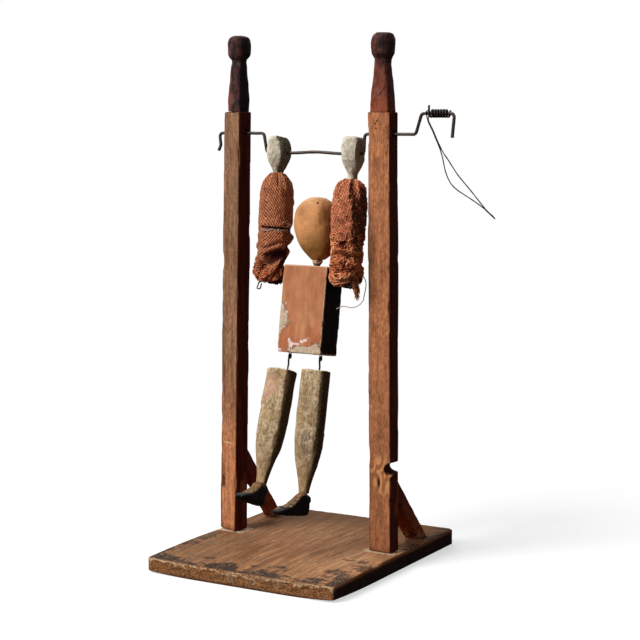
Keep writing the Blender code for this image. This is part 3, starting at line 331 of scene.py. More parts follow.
def both(seed):
    """The two sides, each with its own seed."""
    return ("left", seed), ("right", seed + 10)


def read(piece):
    """A mesh's points and their normals."""
    count = len(piece.data.vertices)
    points = np.empty(count * 3)
    piece.data.vertices.foreach_get("co", points)
    normals = np.empty(count * 3, dtype=np.float32)
    piece.data.vertex_normals.foreach_get("vector", normals)
    return points.reshape(-1, 3) / MM, normals.reshape(-1, 3).astype(float)


def write(piece, points):
    piece.data.vertices.foreach_set("co", (points * MM).ravel())
    piece.data.update()


def keep(piece, name, values):
    """Keeps a number at each point of a mesh, for its material."""
    if name in piece.data.attributes:
        piece.data.attributes.remove(piece.data.attributes[name])
    held = piece.data.attributes.new(name, "FLOAT", "POINT")
    held.data.foreach_set("value", np.ascontiguousarray(values, dtype=np.float32))


def box(node):
    """A CAD piece's lowest and highest corners."""
    return (np.array(corner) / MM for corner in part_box(node))


def ramp(values, start, width):
    """0 up to a start, and 1 from one width past it."""
    return np.clip((values - start) / width, 0, 1)


def soft_step(values, low, high):
    """0 below low and 1 above high, with a soft step between; low above high turns it round."""
    part = ramp(values, low, high - low)
    return part * part * (3 - 2 * part)


def near_spot(points, spot, radius):
    """1 at a spot on a mesh, fading to 0 about one radius away."""
    return np.exp(-(((points - spot) / radius) ** 2).sum(1))


def lumps(points, size, seed, stretch=(1, 1, 1)):
    """Smooth random swells, about -1 to 1, one size across."""
    chance = np.random.default_rng(seed)
    headings = chance.normal(size=(26, 3))
    headings /= np.linalg.norm(headings, axis=1)[:, None]
    lengths = size * chance.uniform(1.2, 3.0, 26)
    starts = chance.uniform(0, 2 * math.pi, 26)
    waves = np.sin(points / np.array(stretch) @ headings.T * (2 * math.pi / lengths) + starts)
    return waves.sum(1) / 5.2


def bump_out(piece, distance):
    """Moves each point along its normal."""
    points, normals = read(piece)
    write(piece, points + normals * distance[:, None])


def roughen(piece, lift, *waves):
    """Lifts a piece's skin, and swells it at random: each wave's size, height, seed and stretch."""
    points, _ = read(piece)
    bump_out(piece, lift + sum(lumps(points, size, *rest) * height for size, height, *rest in waves))


def whittle(piece, cuts, depth, reach, seed):
    """Knife facets: each point moves to the nearest of many flat cuts."""
    points, normals = read(piece)
    picks = np.random.default_rng(seed).choice(len(points), cuts, replace=False)
    seats, faces = points[picks], normals[picks]
    moved = np.zeros(len(points))
    for start in range(0, len(points), 4000):
        part = slice(start, start + 4000)
        facing = normals[part] @ faces.T
        apart = seats[None, :, :] - points[part][:, None, :]
        along = (apart * faces[None, :, :]).sum(2)
        far = np.linalg.norm(apart, axis=2)
        spare = 2.0 * (far / reach) ** 2 + 3.0 * np.maximum(0, 0.7 - facing)
        moved[part] = (along / np.maximum(facing, 0.2) + depth * spare).min(1)
    moved = np.clip(moved, -depth, depth)
    write(piece, points + normals * (moved - moved.mean())[:, None])


def stand_out(piece, rounds=5):
    """How far each point stands out of its surroundings: above 0 on edges, below 0 in hollows."""
    points, normals = read(piece)
    edges = np.empty(len(piece.data.edges) * 2, dtype=np.int32)
    piece.data.edges.foreach_get("vertices", edges)
    first, second = edges.reshape(-1, 2).T
    ends = np.concatenate([first, second])
    other = np.concatenate([second, first])
    count = np.maximum(np.bincount(ends, minlength=len(points)), 1)
    soft = points.copy()
    for _ in range(rounds):
        soft = np.stack([np.bincount(ends, soft[other, axis], len(points)) / count for axis in range(3)], 1)
    stand = ((points - soft) * normals).sum(1)
    return stand / np.percentile(np.abs(stand), 97)


def settle(piece, node, spare=0):
    """Keeps a carved piece inside its CAD piece's box, and notes its edges, its top faces and its right side,
    which most paints darken as painted shade.
    """
    low, high = box(node)
    points, _ = read(piece)
    # Nothing is spared on the outer sides, where the crank's bent wire passes the hands
    less = (spare * (node == "right_arm"), spare, 0)
    more = (spare * (node == "left_arm"), spare, 0)
    write(piece, np.clip(points, low - less, high + more))
    keep(piece, "edge", np.clip(stand_out(piece), -1, 1))
    _, normals = read(piece)
    keep(piece, "right", ramp(normals[:, 0], 0.45, 0.35))
    keep(piece, "up", ramp(normals[:, 2], 0.45, 0.35))


def seat(piece, height, drop, clear=None):
    """Lets the faces that stand at a height down by a drop, so that no light shows under the piece."""
    points, normals = read(piece)
    off = np.abs(points[:, 2] - height)
    standing = (off < 0.9) & (normals[:, 2] < 0.3)
    if clear:
        standing &= np.hypot(points[:, 0] - clear[0], points[:, 1] - clear[1]) > clear[2]
    points[:, 2] -= standing * drop * (0.4 + 0.6 * np.clip(1 - off / 0.9, 0, 1))
    write(piece, points)


def dress(piece, node, material, body):
    """Gives a finished piece its material, and puts it on its body in place of its CAD piece."""
    piece.data.materials.clear()
    piece.data.materials.append(material)
    if hasattr(piece.data, "polygons"):
        piece.data.polygons.foreach_set("use_smooth", [True] * len(piece.data.polygons))
    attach(piece, body)
    if node:
        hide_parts(node)


# Camera and thread


class TOY_OT_camera(bpy.types.Operator):
    """Set up the camera, a little to the right of the toy's front."""

    bl_idname = "toy.camera"
    bl_label = "Camera"

    def execute(self, context):
        place = Vector((0.63961, -1.07129, 0.33471))
        aim = Vector((0.01397, 0.0, 0.18185))
        bpy.ops.object.camera_add(location=place, rotation=(aim - place).to_track_quat("-Z", "Y").to_euler())
        camera = context.object
        camera.name = "toy_camera"
        camera.data.sensor_width = 36
        camera.data.lens = 95.12
        context.scene.camera = camera
        return {"FINISHED"}


THREAD_START = (48.942, 1.584, 216.359)
THREAD_SPREAD = 22.0
# Where the thread runs, from its start, in spreads
THREAD_SHARES = (
    (0.0, 0.0, 0.0), (0.11, 0.0, -0.155), (0.12, 0.01, -0.377), (0.06, 0.0, -0.659), (0.02, 0.0, -0.827),
    (-0.14, -0.02, -1.0), (-0.35, -0.1, -1.077), (-0.565, -0.24, -1.027), (-0.68, -0.36, -1.064),
    (-0.73, -0.45, -1.109),
)


def through(points, steps):
    """A smooth line through all the points."""
    points = [Vector(point) for point in points]
    ends = [2 * points[0] - points[1], *points, 2 * points[-1] - points[-2]]
    line = []
    for before, start, end, after in zip(ends, ends[1:], ends[2:], ends[3:]):
        for part in (step / steps for step in range(steps)):
            bend = (2 * before - 5 * start + 4 * end - after) * part**2
            twist = (3 * start - before - 3 * end + after) * part**3
            line.append(0.5 * (2 * start + (end - before) * part + bend + twist))
    return [*line, points[-1]]


class TOY_OT_thread(bpy.types.Operator):
    """Hang the loose thread from the frayed hem of the right sleeve."""

    bl_idname = "toy.thread"
    bl_label = "Loose thread"

    def execute(self, context):
        spread = [[part * THREAD_SPREAD for part in share] for share in THREAD_SHARES]
        line = through([tuple((a + b) * MM for a, b in zip(THREAD_START, move)) for move in spread], 3)
        curve = bpy.data.curves.new("loose_thread", "CURVE")
        curve.dimensions = "3D"
        spline = curve.splines.new("POLY")
        spline.points.add(len(line) - 1)
        for point, place in zip(spline.points, line):
            point.co = (*place, 1)
        curve.bevel_depth = 0.35 * MM
        curve.bevel_resolution = 3
        curve.use_fill_caps = True
        thread = new_piece("loose_thread", curve)
        dress(thread, "sleeve_thread", thread_paint(), "right_arm_group")
        length = sum((b - a).length for a, b in zip(line, line[1:]))
        return {"FINISHED"}


def thread_paint():
    paint = Paint("thread_wool_paint")
    # The thread's top, where it leaves the hem, is painted dark as shade
    dark = paint.z.rise(0.2125, 0.216)
    speck = paint.blotch(0.7, detail=4)
    paint.colour = paint.mix(dark, colours().thread, colours().sleeve_shade)
    paint.vary(speck, 1.6)
    return paint.finish(0.9, speck, 0.12, 0.1, {"Sheen Weight": 0.4})


# Wood

POST_FEET = (-68.3, 63)


def plank_paint():
    paint = Paint("board_wood_paint")
    hues = colours()
    lines, bands = grain(paint, 1, 1)
    grime = paint.blotch(7, (1, 1.6, 1), 5, 0.7, 8)
    fine = paint.blotch(1.5, (1, 1.8, 1), 5, 0.7, 2)
    paint.colour = paint.mix(paint.x.rise(-0.085, 0.08), hue(hues.plank, 0.78), hue(hues.plank, 1.24))
    paint.vary(bands, 1.9)
    paint.vary(lines, 2.2)
    paint.vary(fine, 1.5)
    scratch = paint.blotch(0.8, (1, 12, 1), 3, 0.7, 5.5)
    paint.coat(scratch.rise(0.6, 0.7) * 0.45, (200, 168, 134))
    paint.coat(scratch.rise(0.38, 0.3) * 0.55, (84, 50, 34))
    paint.coat(grime.rise(0.48, 0.62) * 0.45, (128, 106, 82))
    paint.coat(lines.rise(0.6, 0.72) * fine.rise(0.4, 0.6) * 0.5, (198, 162, 126))
    paint.coat(lines.rise(0.4, 0.28) * 0.7, (74, 46, 32))
    middle = paint.near((-5, -30, 12), 62, (0.7, 1, 1))
    paint.coat(middle * bands.rise(0.62, 0.42) * 0.35, (124, 68, 42))
    scuff = paint.near((55, -22, 12), 30, (0.6, 1.2, 1)) * lines.rise(0.48, 0.62)
    paint.coat(scuff * 0.4, (206, 172, 138))
    back = (paint.y + grime * 0.03).rise(0.03, 0.1)
    paint.coat(back * 0.75, hues.plank, 0.4)
    cloud = paint.blotch(13, (1.6, 1, 1), 4, 0.65, 12)
    uneven = (cloud - 0.5) * 0.12 + (grime - 0.5) * 0.03 + (fine - 0.5) * 0.01
    front = (paint.y + 0.094 - uneven).rise(0.021, 0.008)
    left = (paint.x + 0.0797 - uneven).rise(0.013, 0.005) * paint.y.rise(0.03, -0.05)
    right = (0.0797 - paint.x - uneven).rise(0.008, 0.002)
    dirt = front.most(left * 0.9).most(right * 0.85)
    paint.coat(dirt * fine.rise(0.72, 0.5) * 0.92, hues.plank_dark)
    paint.coat(dirt * lines.rise(0.54, 0.66) * 0.45, (112, 98, 84))
    patch = (grime + bands * 0.3).rise(0.8, 0.88) * 0.5
    paint.coat(patch, hues.plank_dark, 1.6)
    feet = None
    for middle_x in POST_FEET:
        reach_x = abs(paint.x - middle_x * MM) - 11.2 * MM
        reach_y = abs(paint.y - BAR_Y * MM) - 7.6 * MM
        ring = reach_x.most(reach_y) - (fine - 0.5) * 3 * MM
        glue = ring.rise(2 * MM, 1 * MM) * paint.z.rise(11 * MM, 11.6 * MM)
        feet = glue if feet is None else feet.most(glue)
    paint.coat(feet * fine.rise(0.36, 0.52) * 0.9, (206, 180, 150))
    end = paint.y.rise(-0.0895, -0.0922)
    pits = paint.blotch(1.15, (1.2, 1, 0.9), 4, 0.75, 1.7)
    pores = paint.cells(1.5, (1.2, 1, 0.9), 4)
    ends = paint.mix(pits.rise(0.36, 0.62), (92, 52, 28), hue(hues.end_grain, 1.35))
    ends = paint.mix(pores.rise(0.34, 0.16) * 0.8, ends, (74, 38, 20))
    ends = paint.mix(pits.rise(0.62, 0.74) * 0.6, ends, (222, 188, 146))
    pale_end = paint.near((12, -94, 6), 34) * grime.rise(0.46, 0.6)
    ends = paint.mix(pale_end * fine.rise(0.44, 0.6) * 0.6, ends, (176, 164, 140))
    ends = paint.mix((paint.z + (fine - 0.5) * 0.004).rise(0.0024, 0.001) * 0.7, ends, (60, 32, 20))
    paint.coat(end, ends)
    rim = (paint.mask("edge") * 0.5 + pits).rise(0.72, 0.9) * paint.y.rise(-0.0895, -0.0915)
    paint.coat(rim * paint.z.rise(0.006, 0.0085) * 0.6, (206, 178, 142))
    # The plank's right side is painted nearly black as shade; its upper edges there are painted lighter
    side = paint.mask("right")
    paint.coat(side * 0.97, (26, 15, 12))
    arris = (paint.mask("edge") + fine * 0.5) * side.rise(0.02, 0.4)
    paint.coat(arris.rise(0.45, 0.9) * 0.8 * paint.z.rise(0.006, 0.01), (128, 78, 50))
    height = lines + bands * 0.4 + end * (pits * 2 + pores) + dirt * fine
    return paint.finish(0.92, height, 0.35, 0.06)


class TOY_OT_base(bpy.types.Operator):
    """Carve the plank: worn front edge, rough end grain and grain ridges along its length."""

    bl_idname = "toy.base"
    bl_label = "Plank base"

    def execute(self, context):
        plank = clay("base_board", sizes().voxel / MM, 3, "plank")
        points, normals = read(plank)
        x, y, z = points.T
        low, high = box("base_board")
        swell = lumps(points, 30, 3, (1, 2.5, 1)) * 0.22 + lumps(points, 2.2, 4, (1, 24, 1)) * 0.1
        swell -= np.exp(-((x + 8) ** 2) / 45**2) * ramp(-y, 40, 54) * 0.35
        move = swell * np.clip(normals[:, 2], 0, 1)
        rough = lumps(points, 2.4, 5, (1.6, 1, 1)) * 0.28 + lumps(points, 9, 6) * 0.3
        move += (rough - 0.35) * np.clip(-normals[:, 1], 0, 1)
        move += (lumps(points, 14, 7, (1, 3, 1)) * 0.2 - 0.15) * np.abs(normals[:, 0])
        points += normals * (move * ramp(z, 0.6, 1.5))[:, None]
        # The front edge is worn round, most in its middle, and each other edge a little
        wear = 1.1 + sizes().plank_wear / MM * np.exp(-((x + 4) ** 2) / 50**2)
        wear = wear * (1 + 0.3 * lumps(np.stack([x, x * 0, x * 0], 1), 7, 8))
        over = np.maximum(wear - (y - low[1]), 0) / wear
        top = np.maximum(wear - (high[2] - z), 0) / wear
        corner = np.hypot(over, top)
        pull = np.where((over > 0) & (top > 0) & (corner > 1), 1 / np.maximum(corner, 1e-6), 1)
        y[:] = np.where(pull < 1, low[1] + wear * (1 - over * pull), y)
        z[:] = np.where(pull < 1, high[2] - wear * (1 - top * pull), z)
        # Its corners are rubbed round, the front left one most
        for way, reach in (((-1, -1), 7.0), ((1, -1), 3.2), ((-1, 1), 4.0), ((1, 1), 3.0)):
            way = np.array(way)
            side = reach - way * (np.where(way > 0, high[:2], low[:2]) - points[:, :2])
            far = np.hypot(*side.T)
            near = (side > 0).all(1) & (far > reach)
            points[:, :2] -= way * side * (near * (1 - reach / np.maximum(far, 1e-6)))[:, None]
        # Its front is worn thinner towards the corners underneath, and lower in the middle on top
        front = ramp(-y, 34, 60) ** 2
        out = np.clip(np.abs(x) / high[0], 0, 1)
        z += 1.9 * front * ramp(out, 0.45, 0.55) ** 2 * np.clip(1 - z / 7, 0, 1)
        z -= 2.0 * front * (1 - 0.45 * out**2) * ramp(z, 4, 8)
        # The right edge is worn uneven
        worn = np.clip(lumps(np.stack([y * 0, y, y * 0], 1), 9, 9) + 0.3, 0, 1.6)
        z -= ramp(x, high[0] - 7, 7) ** 2 * np.clip(normals[:, 2], 0, 1) * worn
        write(plank, points)
        smooth(plank, 1, 0.4)
        settle(plank, "base_board")
        dress(plank, "base_board", plank_paint(), "stand")
        return {"FINISHED"}


def post_paint(side):
    left = side == "left"
    paint = Paint(side + "_post_paint")
    hues = colours()
    lines, bands = grain(paint, 2, 0.9, 1 if left else 6)
    fine = paint.blotch(1.3, (1, 1, 2.2), 5, 0.7, 3)
    if left:
        paint.colour = paint.mix(paint.z.rise(0.05, 0.16), hue(hues.post, 1.18), hues.post_grey)
    else:
        paint.colour = paint.mix(paint.z.rise(0.08, 0.17), hue(hues.post, 0.8), hues.post)
    paint.vary(bands, 1.4 if left else 1)
    paint.vary(lines, 1.5 if left else 1)
    paint.vary(fine, 2.2)
    mottle = paint.blotch(3.5, (1, 1, 2.4), 5, 0.65, 11)
    paint.vary(mottle, 1.5)
    streak = lines.rise(0.6, 0.72) * bands.rise(0.42, 0.56) * (0.45 if left else 0.25)
    paint.coat(streak, (204, 150, 112))
    paint.coat(bands.rise(0.36, 0.24) * 0.5, (96, 52, 32))
    smear = paint.blotch(9, (1, 1, 3.5), 4, 0.6, 4)
    paint.coat(smear.rise(0.54, 0.68) * 0.55, (98, 62, 44))
    spots = paint.cells(6, (1, 1, 1.6), 3.3).rise(0.11, 0.06)
    paint.coat(spots * fine.rise(0.45, 0.55) * 0.7, (60, 32, 22))
    dark = (26, 14, 10)
    if left:
        paint.coat(paint.near((-53.5, 5.5, 320.5), 5) * 0.95, dark)
        paint.coat(paint.near((-75.5, 3.8, 50), 5, (0.7, 1, 1.3)) * 0.75, dark)
        pale = paint.near((-70, 2.2, 81.2), 5, (1.5, 1, 0.16)) * 0.8
        paint.coat(pale, (206, 170, 132))
        worn = (paint.x + fine * 0.004).rise(-0.0735, -0.0765) * 0.45
        paint.coat(worn * paint.z.rise(0.3, 0.05), (92, 52, 34))
    else:
        pale = paint.near((66.5, 3.5, 70), 15, (1, 1.2, 1.3))
        swirl = (paint.cells(10, (1, 1, 1.9), 5) * 22).sine().rise(-0.6, 0.8)
        knotty = paint.mix(swirl, (150, 92, 56), (206, 146, 98))
        paint.coat(pale * 0.8, knotty)
        paint.coat(paint.near((69.5, 10, 73), 8.5), dark)
        crack = paint.near((62.7, 1.8, 64.1), 4.6, (0.36, 1, 1)) * 0.9
        paint.coat(crack, dark)
        for drop in ((58.7, 1.8, 326.2), (59.3, 1.8, 322.8), (60.3, 1.8, 328.1)):
            paint.coat(paint.near(drop, 1.1) * 0.9, (40, 22, 16))
        paint.coat(paint.near((71.2, 9, 318.7), 4.5), dark)
    foot = (paint.z - fine * 0.006).rise(0.015, 0.0105)
    paint.coat(foot * 0.4, (96, 56, 36))
    rubbed = (paint.mask("edge") * 0.7 + fine * 0.5).rise(0.62, 0.95)
    paint.coat(rubbed * 0.55, (92, 50, 34))
    paint.coat(paint.mask("up") * paint.z.rise(0.32, 0.33), (44, 28, 22))
    # The right sides are painted in shade, dark red, with a redder painted glow low down
    side_shade = paint.varied(hues.post_shade, bands, 3)
    glow = paint.blotch(20, (1, 1, 2.5), 3, 0.6, 7).rise(0.52, 0.7) * paint.z.rise(0.16, 0.05)
    side_shade = paint.mix(glow * 0.8, side_shade, (150, 74, 44))
    paint.coat(paint.mask("right") * 0.96, side_shade)
    height = lines * 1.2 + bands * 0.6 + fine * 0.4
    return paint.finish(0.85, height, 0.3, 0.04)


# Dents in the posts: their place, size and depth
POST_DENTS = {
    "left": (
        ((-75.5, 3.6, 51.5), (1.9, 3, 2.2), 1.0),
        ((-74.0, 3.4, 46.5), (1.2, 3, 2.8), 0.9),
        ((-70.0, 2.2, 81.5), (6.0, 3, 0.8), 0.25),
    ),
    "right": (
        ((62.7, 1.8, 64.1), (0.8, 2, 4.2), 0.7),
        ((65.6, 2.0, 70.5), (1.6, 2, 4.5), 0.45),
        ((61.0, 1.8, 70.0), (1.6, 2, 6.5), -0.3),
    ),
}
PLANK_TOP = 12.3


class TOY_OT_posts(bpy.types.Operator):
    """Carve both posts: ragged edges, grain ridges, the knife damage and the broken-out knot."""

    bl_idname = "toy.posts"
    bl_label = "Posts"

    def execute(self, context):
        for side, seed in both(11):
            node = side + "_post"
            post = clay(node, 0.75, 3)
            points, _ = read(post)
            nicks = np.clip(lumps(points, 5, seed + 2, (1, 1, 1.6)) - 0.5, 0, 1.5)
            lift = -0.12 - np.clip(stand_out(post, 6), 0, 1) * (0.1 + nicks * 0.7)
            lift -= sum(near_spot(points, spot, size) * depth for spot, size, depth in POST_DENTS[side])
            roughen(post, lift, (1.6, 0.07, seed, (1, 1, 30)), (9, 0.16, seed + 1, (1, 1, 4)))
            settle(post, node)
            seat(post, PLANK_TOP, 0.32)
            dress(post, node, post_paint(side), "stand")
        return {"FINISHED"}


def finial_paint(side):
    left = side == "left"
    paint = Paint(side + "_finial_paint")
    hues = colours()
    wear = paint.blotch(3.2, (1, 1, 2), 5, 0.65, 1 if left else 5.2)
    fine = paint.blotch(1.3, (1, 1, 2), 5, 0.65, 4)
    shown = wear * 1.2 - 0.6 + (fine - 0.5) * 0.5
    edges = paint.mask("edge") * 0.1
    if left:
        flank = (paint.x + paint.z * 0.035).rise(-0.051, -0.0555)
        shown = shown + edges + flank * 0.5 - 0.06
    else:
        flank = (paint.x + paint.z * 0.02).rise(0.069, 0.065)
        cone = paint.z.rise(0.376, 0.352)
        shown = shown + edges + flank * 0.1 + cone * 0.5 - 0.04
    bare = shown.rise(-0.22, 0.5)
    paint.colour = paint.mix(bare, hues.finial, hues.finial_worn)
    if not left:
        paint.coat(paint.z.rise(0.348, 0.337) * bare * 0.7, (150, 74, 42))
    paint.coat(fine.rise(0.58, 0.72) * 0.6, (18, 14, 16))
    paint.coat(paint.mask("up") * paint.z.rise(0.384, 0.389) * 0.3, (80, 66, 60))
    paint.coat(fine.rise(0.36, 0.26) * 0.25, (104, 90, 84))
    smoke = paint.blotch(5, (1, 1, 1.5), 5, 0.7, 9)
    paint.coat(smoke.rise(0.56, 0.38) * 0.5, (22, 17, 18))
    paint.coat(smoke.rise(0.52, 0.7) * 0.6, (92, 84, 84))
    # Painted shade on the right side
    paint.coat(paint.mask("right") * (0.9 if left else 0.5), (14, 10, 10))
    if not left:
        slash = abs((paint.z - 0.3486) - (paint.x - 0.0634) * 1.15).rise(0.62 * MM, 0.25 * MM)
        reach = paint.near((63.4, 1.8, 348.6), 5.8)
        paint.coat(slash * reach * 0.9, (26, 16, 14))
    return paint.finish(fine * 0.3 + 0.5, wear + fine * 0.6, 0.2, 0.05)


# Height above the post and half width of the turned finials
FINIAL_TURNS = {
    "left": (
        (0.0, 9.1), (8.7, 9.1), (13.6, 8.5), (18.0, 8.0), (22.6, 7.3), (27.1, 6.9), (33.9, 6.2),
        (36.2, 5.6), (38.2, 5.8), (39.6, 7.6), (41.2, 8.8), (43.0, 9.25), (50.0, 9.25), (52.6, 8.8),
        (54.6, 8.0), (56.6, 4.8),
    ),
    "right": (
        (0.0, 9.15), (6.0, 9.1), (12.0, 8.5), (18.0, 8.0), (21.0, 7.7), (26.0, 7.0), (30.0, 6.7),
        (34.5, 6.1), (37.2, 6.1), (39.0, 7.4), (40.8, 8.6), (43.0, 9.05), (49.5, 9.05), (52.2, 8.6),
        (54.6, 7.4), (56.3, 4.4),
    ),
}
FINIAL_AXIS = {"left": (-60.97, 7.6), "right": (61.6, 8.0)}
POST_TOP = 335.0


def turn(piece, axis, base, rows):
    """Turns a round piece down or up to the half widths given at heights above its base."""
    points, _ = read(piece)
    out = points[:, :2] - axis
    radius = np.hypot(*out.T)
    height = points[:, 2] - base
    marks = np.linspace(0, rows[-1][0], 50)
    at = np.clip(np.rint(height / marks[1]).astype(int), 0, 49)
    widest = np.full(50, 1.0)
    np.maximum.at(widest, at[height > 0], radius[height > 0])
    widest = np.convolve(np.pad(widest, 1, mode="edge"), (0.25, 0.5, 0.25), "valid")
    share = np.interp(height, *np.array(rows).T) / np.interp(height, marks, widest)
    points[:, :2] = out * np.where(height > -0.1, share, 1)[:, None] + axis
    write(piece, points)


class TOY_OT_finials(bpy.types.Operator):
    """Whittle both finials to their faceted, dark worn heads."""

    bl_idname = "toy.finials"
    bl_label = "Finials"

    def execute(self, context):
        for side, seed in both(31):
            node = side + "_finial"
            finial = clay(node, 0.5, 1)
            turn(finial, FINIAL_AXIS[side], POST_TOP - 0.1, FINIAL_TURNS[side])
            whittle(finial, 150, 0.2, 7, seed)
            smooth(finial, 2)
            roughen(finial, 0, (4, 0.1, seed + 1), (1.2, 0.04, seed + 2, (1, 1, 4)))
            settle(finial, node)
            seat(finial, POST_TOP, 0.75, (*FINIAL_AXIS[side], 4.2))
            dress(finial, node, finial_paint(side), "stand")
        return {"FINISHED"}


def brace_paint():
    paint = Paint("brace_wood_paint")
    hues = colours()
    lines, bands = grain(paint, 2, 1, 2)
    wear = paint.blotch(4, detail=5, rough=0.65, shift=2.6)
    paint.colour = paint.varied(hues.brace, bands, 2.6)
    paint.coat((wear + paint.mask("edge") * 0.16).rise(0.56, 0.74) * 0.6, (128, 66, 42))
    paint.coat(wear.rise(0.44, 0.32) * 0.7, (30, 10, 8))
    warm = paint.z.rise(0.062, 0.02) * wear.rise(0.36, 0.52)
    paint.coat(warm * 0.65, (156, 72, 36))
    pale = (paint.z - wear * 0.006).rise(0.017, 0.011)
    paint.coat(pale * wear.rise(0.4, 0.6) * 0.7, (168, 132, 100))
    return paint.finish(wear * 0.3 + 0.55, lines + wear, 0.25, 0.04)


class TOY_OT_braces(bpy.types.Operator):
    """Carve the two diagonal braces behind the posts."""

    bl_idname = "toy.braces"
    bl_label = "Braces"

    def execute(self, context):
        paint = brace_paint()
        for side, seed in both(51):
            node = side + "_brace"
            brace = clay(node, 0.6, 4)
            whittle(brace, 60, 0.35, 14, seed)
            roughen(brace, -0.1, (6, 0.14, seed + 1))
            smooth(brace, 2)
            settle(brace, node)
            seat(brace, PLANK_TOP, 0.32)
            dress(brace, node, paint, "stand")
        return {"FINISHED"}


# Wire and nails


def nail_paint():
    paint = Paint("nail_steel_paint")
    speck = paint.blotch(0.5, detail=4, rough=0.7)
    paint.colour = paint.mix(speck.rise(0.42, 0.62), (52, 46, 42), colours().rust)
    return paint.finish(speck * 0.3 + 0.4, speck, 0.08, 0.5, {"Metallic": 0.75})


def wire_paint(name, share=1):
    paint = Paint(name)
    speck = paint.blotch(1, detail=5, rough=0.7, shift=1)
    dull = paint.blotch(7, shift=4)
    paint.colour = paint.mix(dull.rise(0.4, 0.66), hue(colours().wire, share), hue((62, 50, 44), share))
    paint.coat((speck * 0.6 + dull * 0.4).rise(0.54, 0.66) * 0.6, colours().rust, share)
    return paint.finish(speck * 0.4 + 0.22, speck, 0.06, 0.3, {"Metallic": 0.55})


# Node, body, smallest detail and swell, slot
WIRES = (
    ("crank_wire", "crank", 0.3, 0.0, "crank_steel"),
    ("grip_winding", "crank", 0.25, 0.0, "winding_steel"),
    ("pull_wire", "pull_loop", 0.13, 0.06, "crank_steel"),
    ("shoulder_wire", "torso_group", 0.16, 0.05, "crank_steel"),
    ("left_hip_staple", "torso_group", 0.16, 0.1, "crank_steel"),
    ("right_hip_staple", "torso_group", 0.16, 0.1, "crank_steel"),
    ("left_hip_wire", "left_leg_group", 0.16, 0.16, "crank_steel"),
    ("right_hip_wire", "right_leg_group", 0.16, 0.16, "crank_steel"),
)


class TOY_OT_wires(bpy.types.Operator):
    """Smooth the crank, its winding, the pull wire and the small pivot wires, and rust the nails."""

    bl_idname = "toy.wires"
    bl_label = "Wires and nails"

    def execute(self, context):
        bright = wire_paint("crank_steel_paint")
        dark = wire_paint("winding_steel_paint", 0.3)
        thin = wire_paint("thin_wire_paint", 0.16)
        for node, body, voxel, swell, slot in WIRES:
            wire = clay(node, voxel, 2, node + "_steel")
            roughen(wire, swell, (3, 0.03, 71))
            points, _ = read(wire)
            x, _, z = points.T
            if node == "crank_wire":
                # The bar between the hands is bent up a little in its middle
                bar = (np.abs(x - 6) < 22) & (z < 310)
                z += bar * np.cos((x - 6) / 22 * math.pi / 2) ** 2 * 0.9
            if node.endswith("staple"):
                middle = (x.min() + x.max()) / 2
                x[:] = middle + (x - middle) * 0.3
            write(wire, points)
            settle(wire, node)
            dress(wire, node, {"crank_wire": bright, "grip_winding": dark}.get(node, thin), body)
        rust = nail_paint()
        for node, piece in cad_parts.items():
            if node.endswith("_nail"):
                for slot in piece.material_slots:
                    slot.material = rust
        return {"FINISHED"}


# The figure's wooden parts


def cream_paint(side):
    left = side == "left"
    middle = (-26, 8, 304) if left else (37.8, 8, 304)
    paint = Paint(side + "_hand_paint", middle, (-7.13, 0, 0))
    hues = colours()
    fine = paint.blotch(1.1, (1, 1, 1.6), 5, 0.7, 2 if left else 7)
    wear = paint.blotch(3.2, detail=5, rough=0.65, shift=3 if left else 9)
    paint.colour = paint.varied(hue(hues.cream, 0.92), fine, 2.6)
    paint.coat(wear.rise(0.48, 0.62) * 0.55, (156, 144, 118))
    paint.coat(fine.rise(0.54, 0.64) * 0.85, (104, 84, 58))
    paint.coat(fine.rise(0.42, 0.34) * 0.5, (216, 212, 198))
    worn = (wear * 0.6 + paint.mask("edge") * 0.2 + fine * 0.3).rise(0.56, 0.74) * 0.6
    paint.coat(worn, hues.cream_worn)
    bar = paint.near((0, -1, 0), 5.5, (2, 1, 1)) * wear.rise(0.34, 0.56)
    paint.coat(bar * 0.9, hues.cream_worn)
    paint.coat(paint.mask("edge").rise(-0.25, -0.8) * 0.5, (74, 54, 40))
    shadow = paint.mix(fine.rise(0.42, 0.62), (26, 19, 14), (116, 102, 78))
    # Pale edges: partly rubbed paint and partly a painted highlight
    pale_edge = (paint.mask("edge") + (fine - 0.5) * 1.2).rise(0.3, 0.8) * 0.7
    paint.coat(pale_edge, (226, 218, 200))
    paint.coat(paint.mask("right") * (0.85 if left else 0.55), shadow)
    # The arm's lower end, inside the sleeve, is painted dark as shade
    paint.coat(paint.z.rise(-0.086, -0.091), (52, 22, 16))
    return paint.finish(0.8, fine + wear * 0.6, 0.3, 0.04)


HAND_X = {"left": -26.04, "right": 37.76}
HAND_TURN = math.radians(13)
BAR_Y = 8
BAR_Z = 304.284


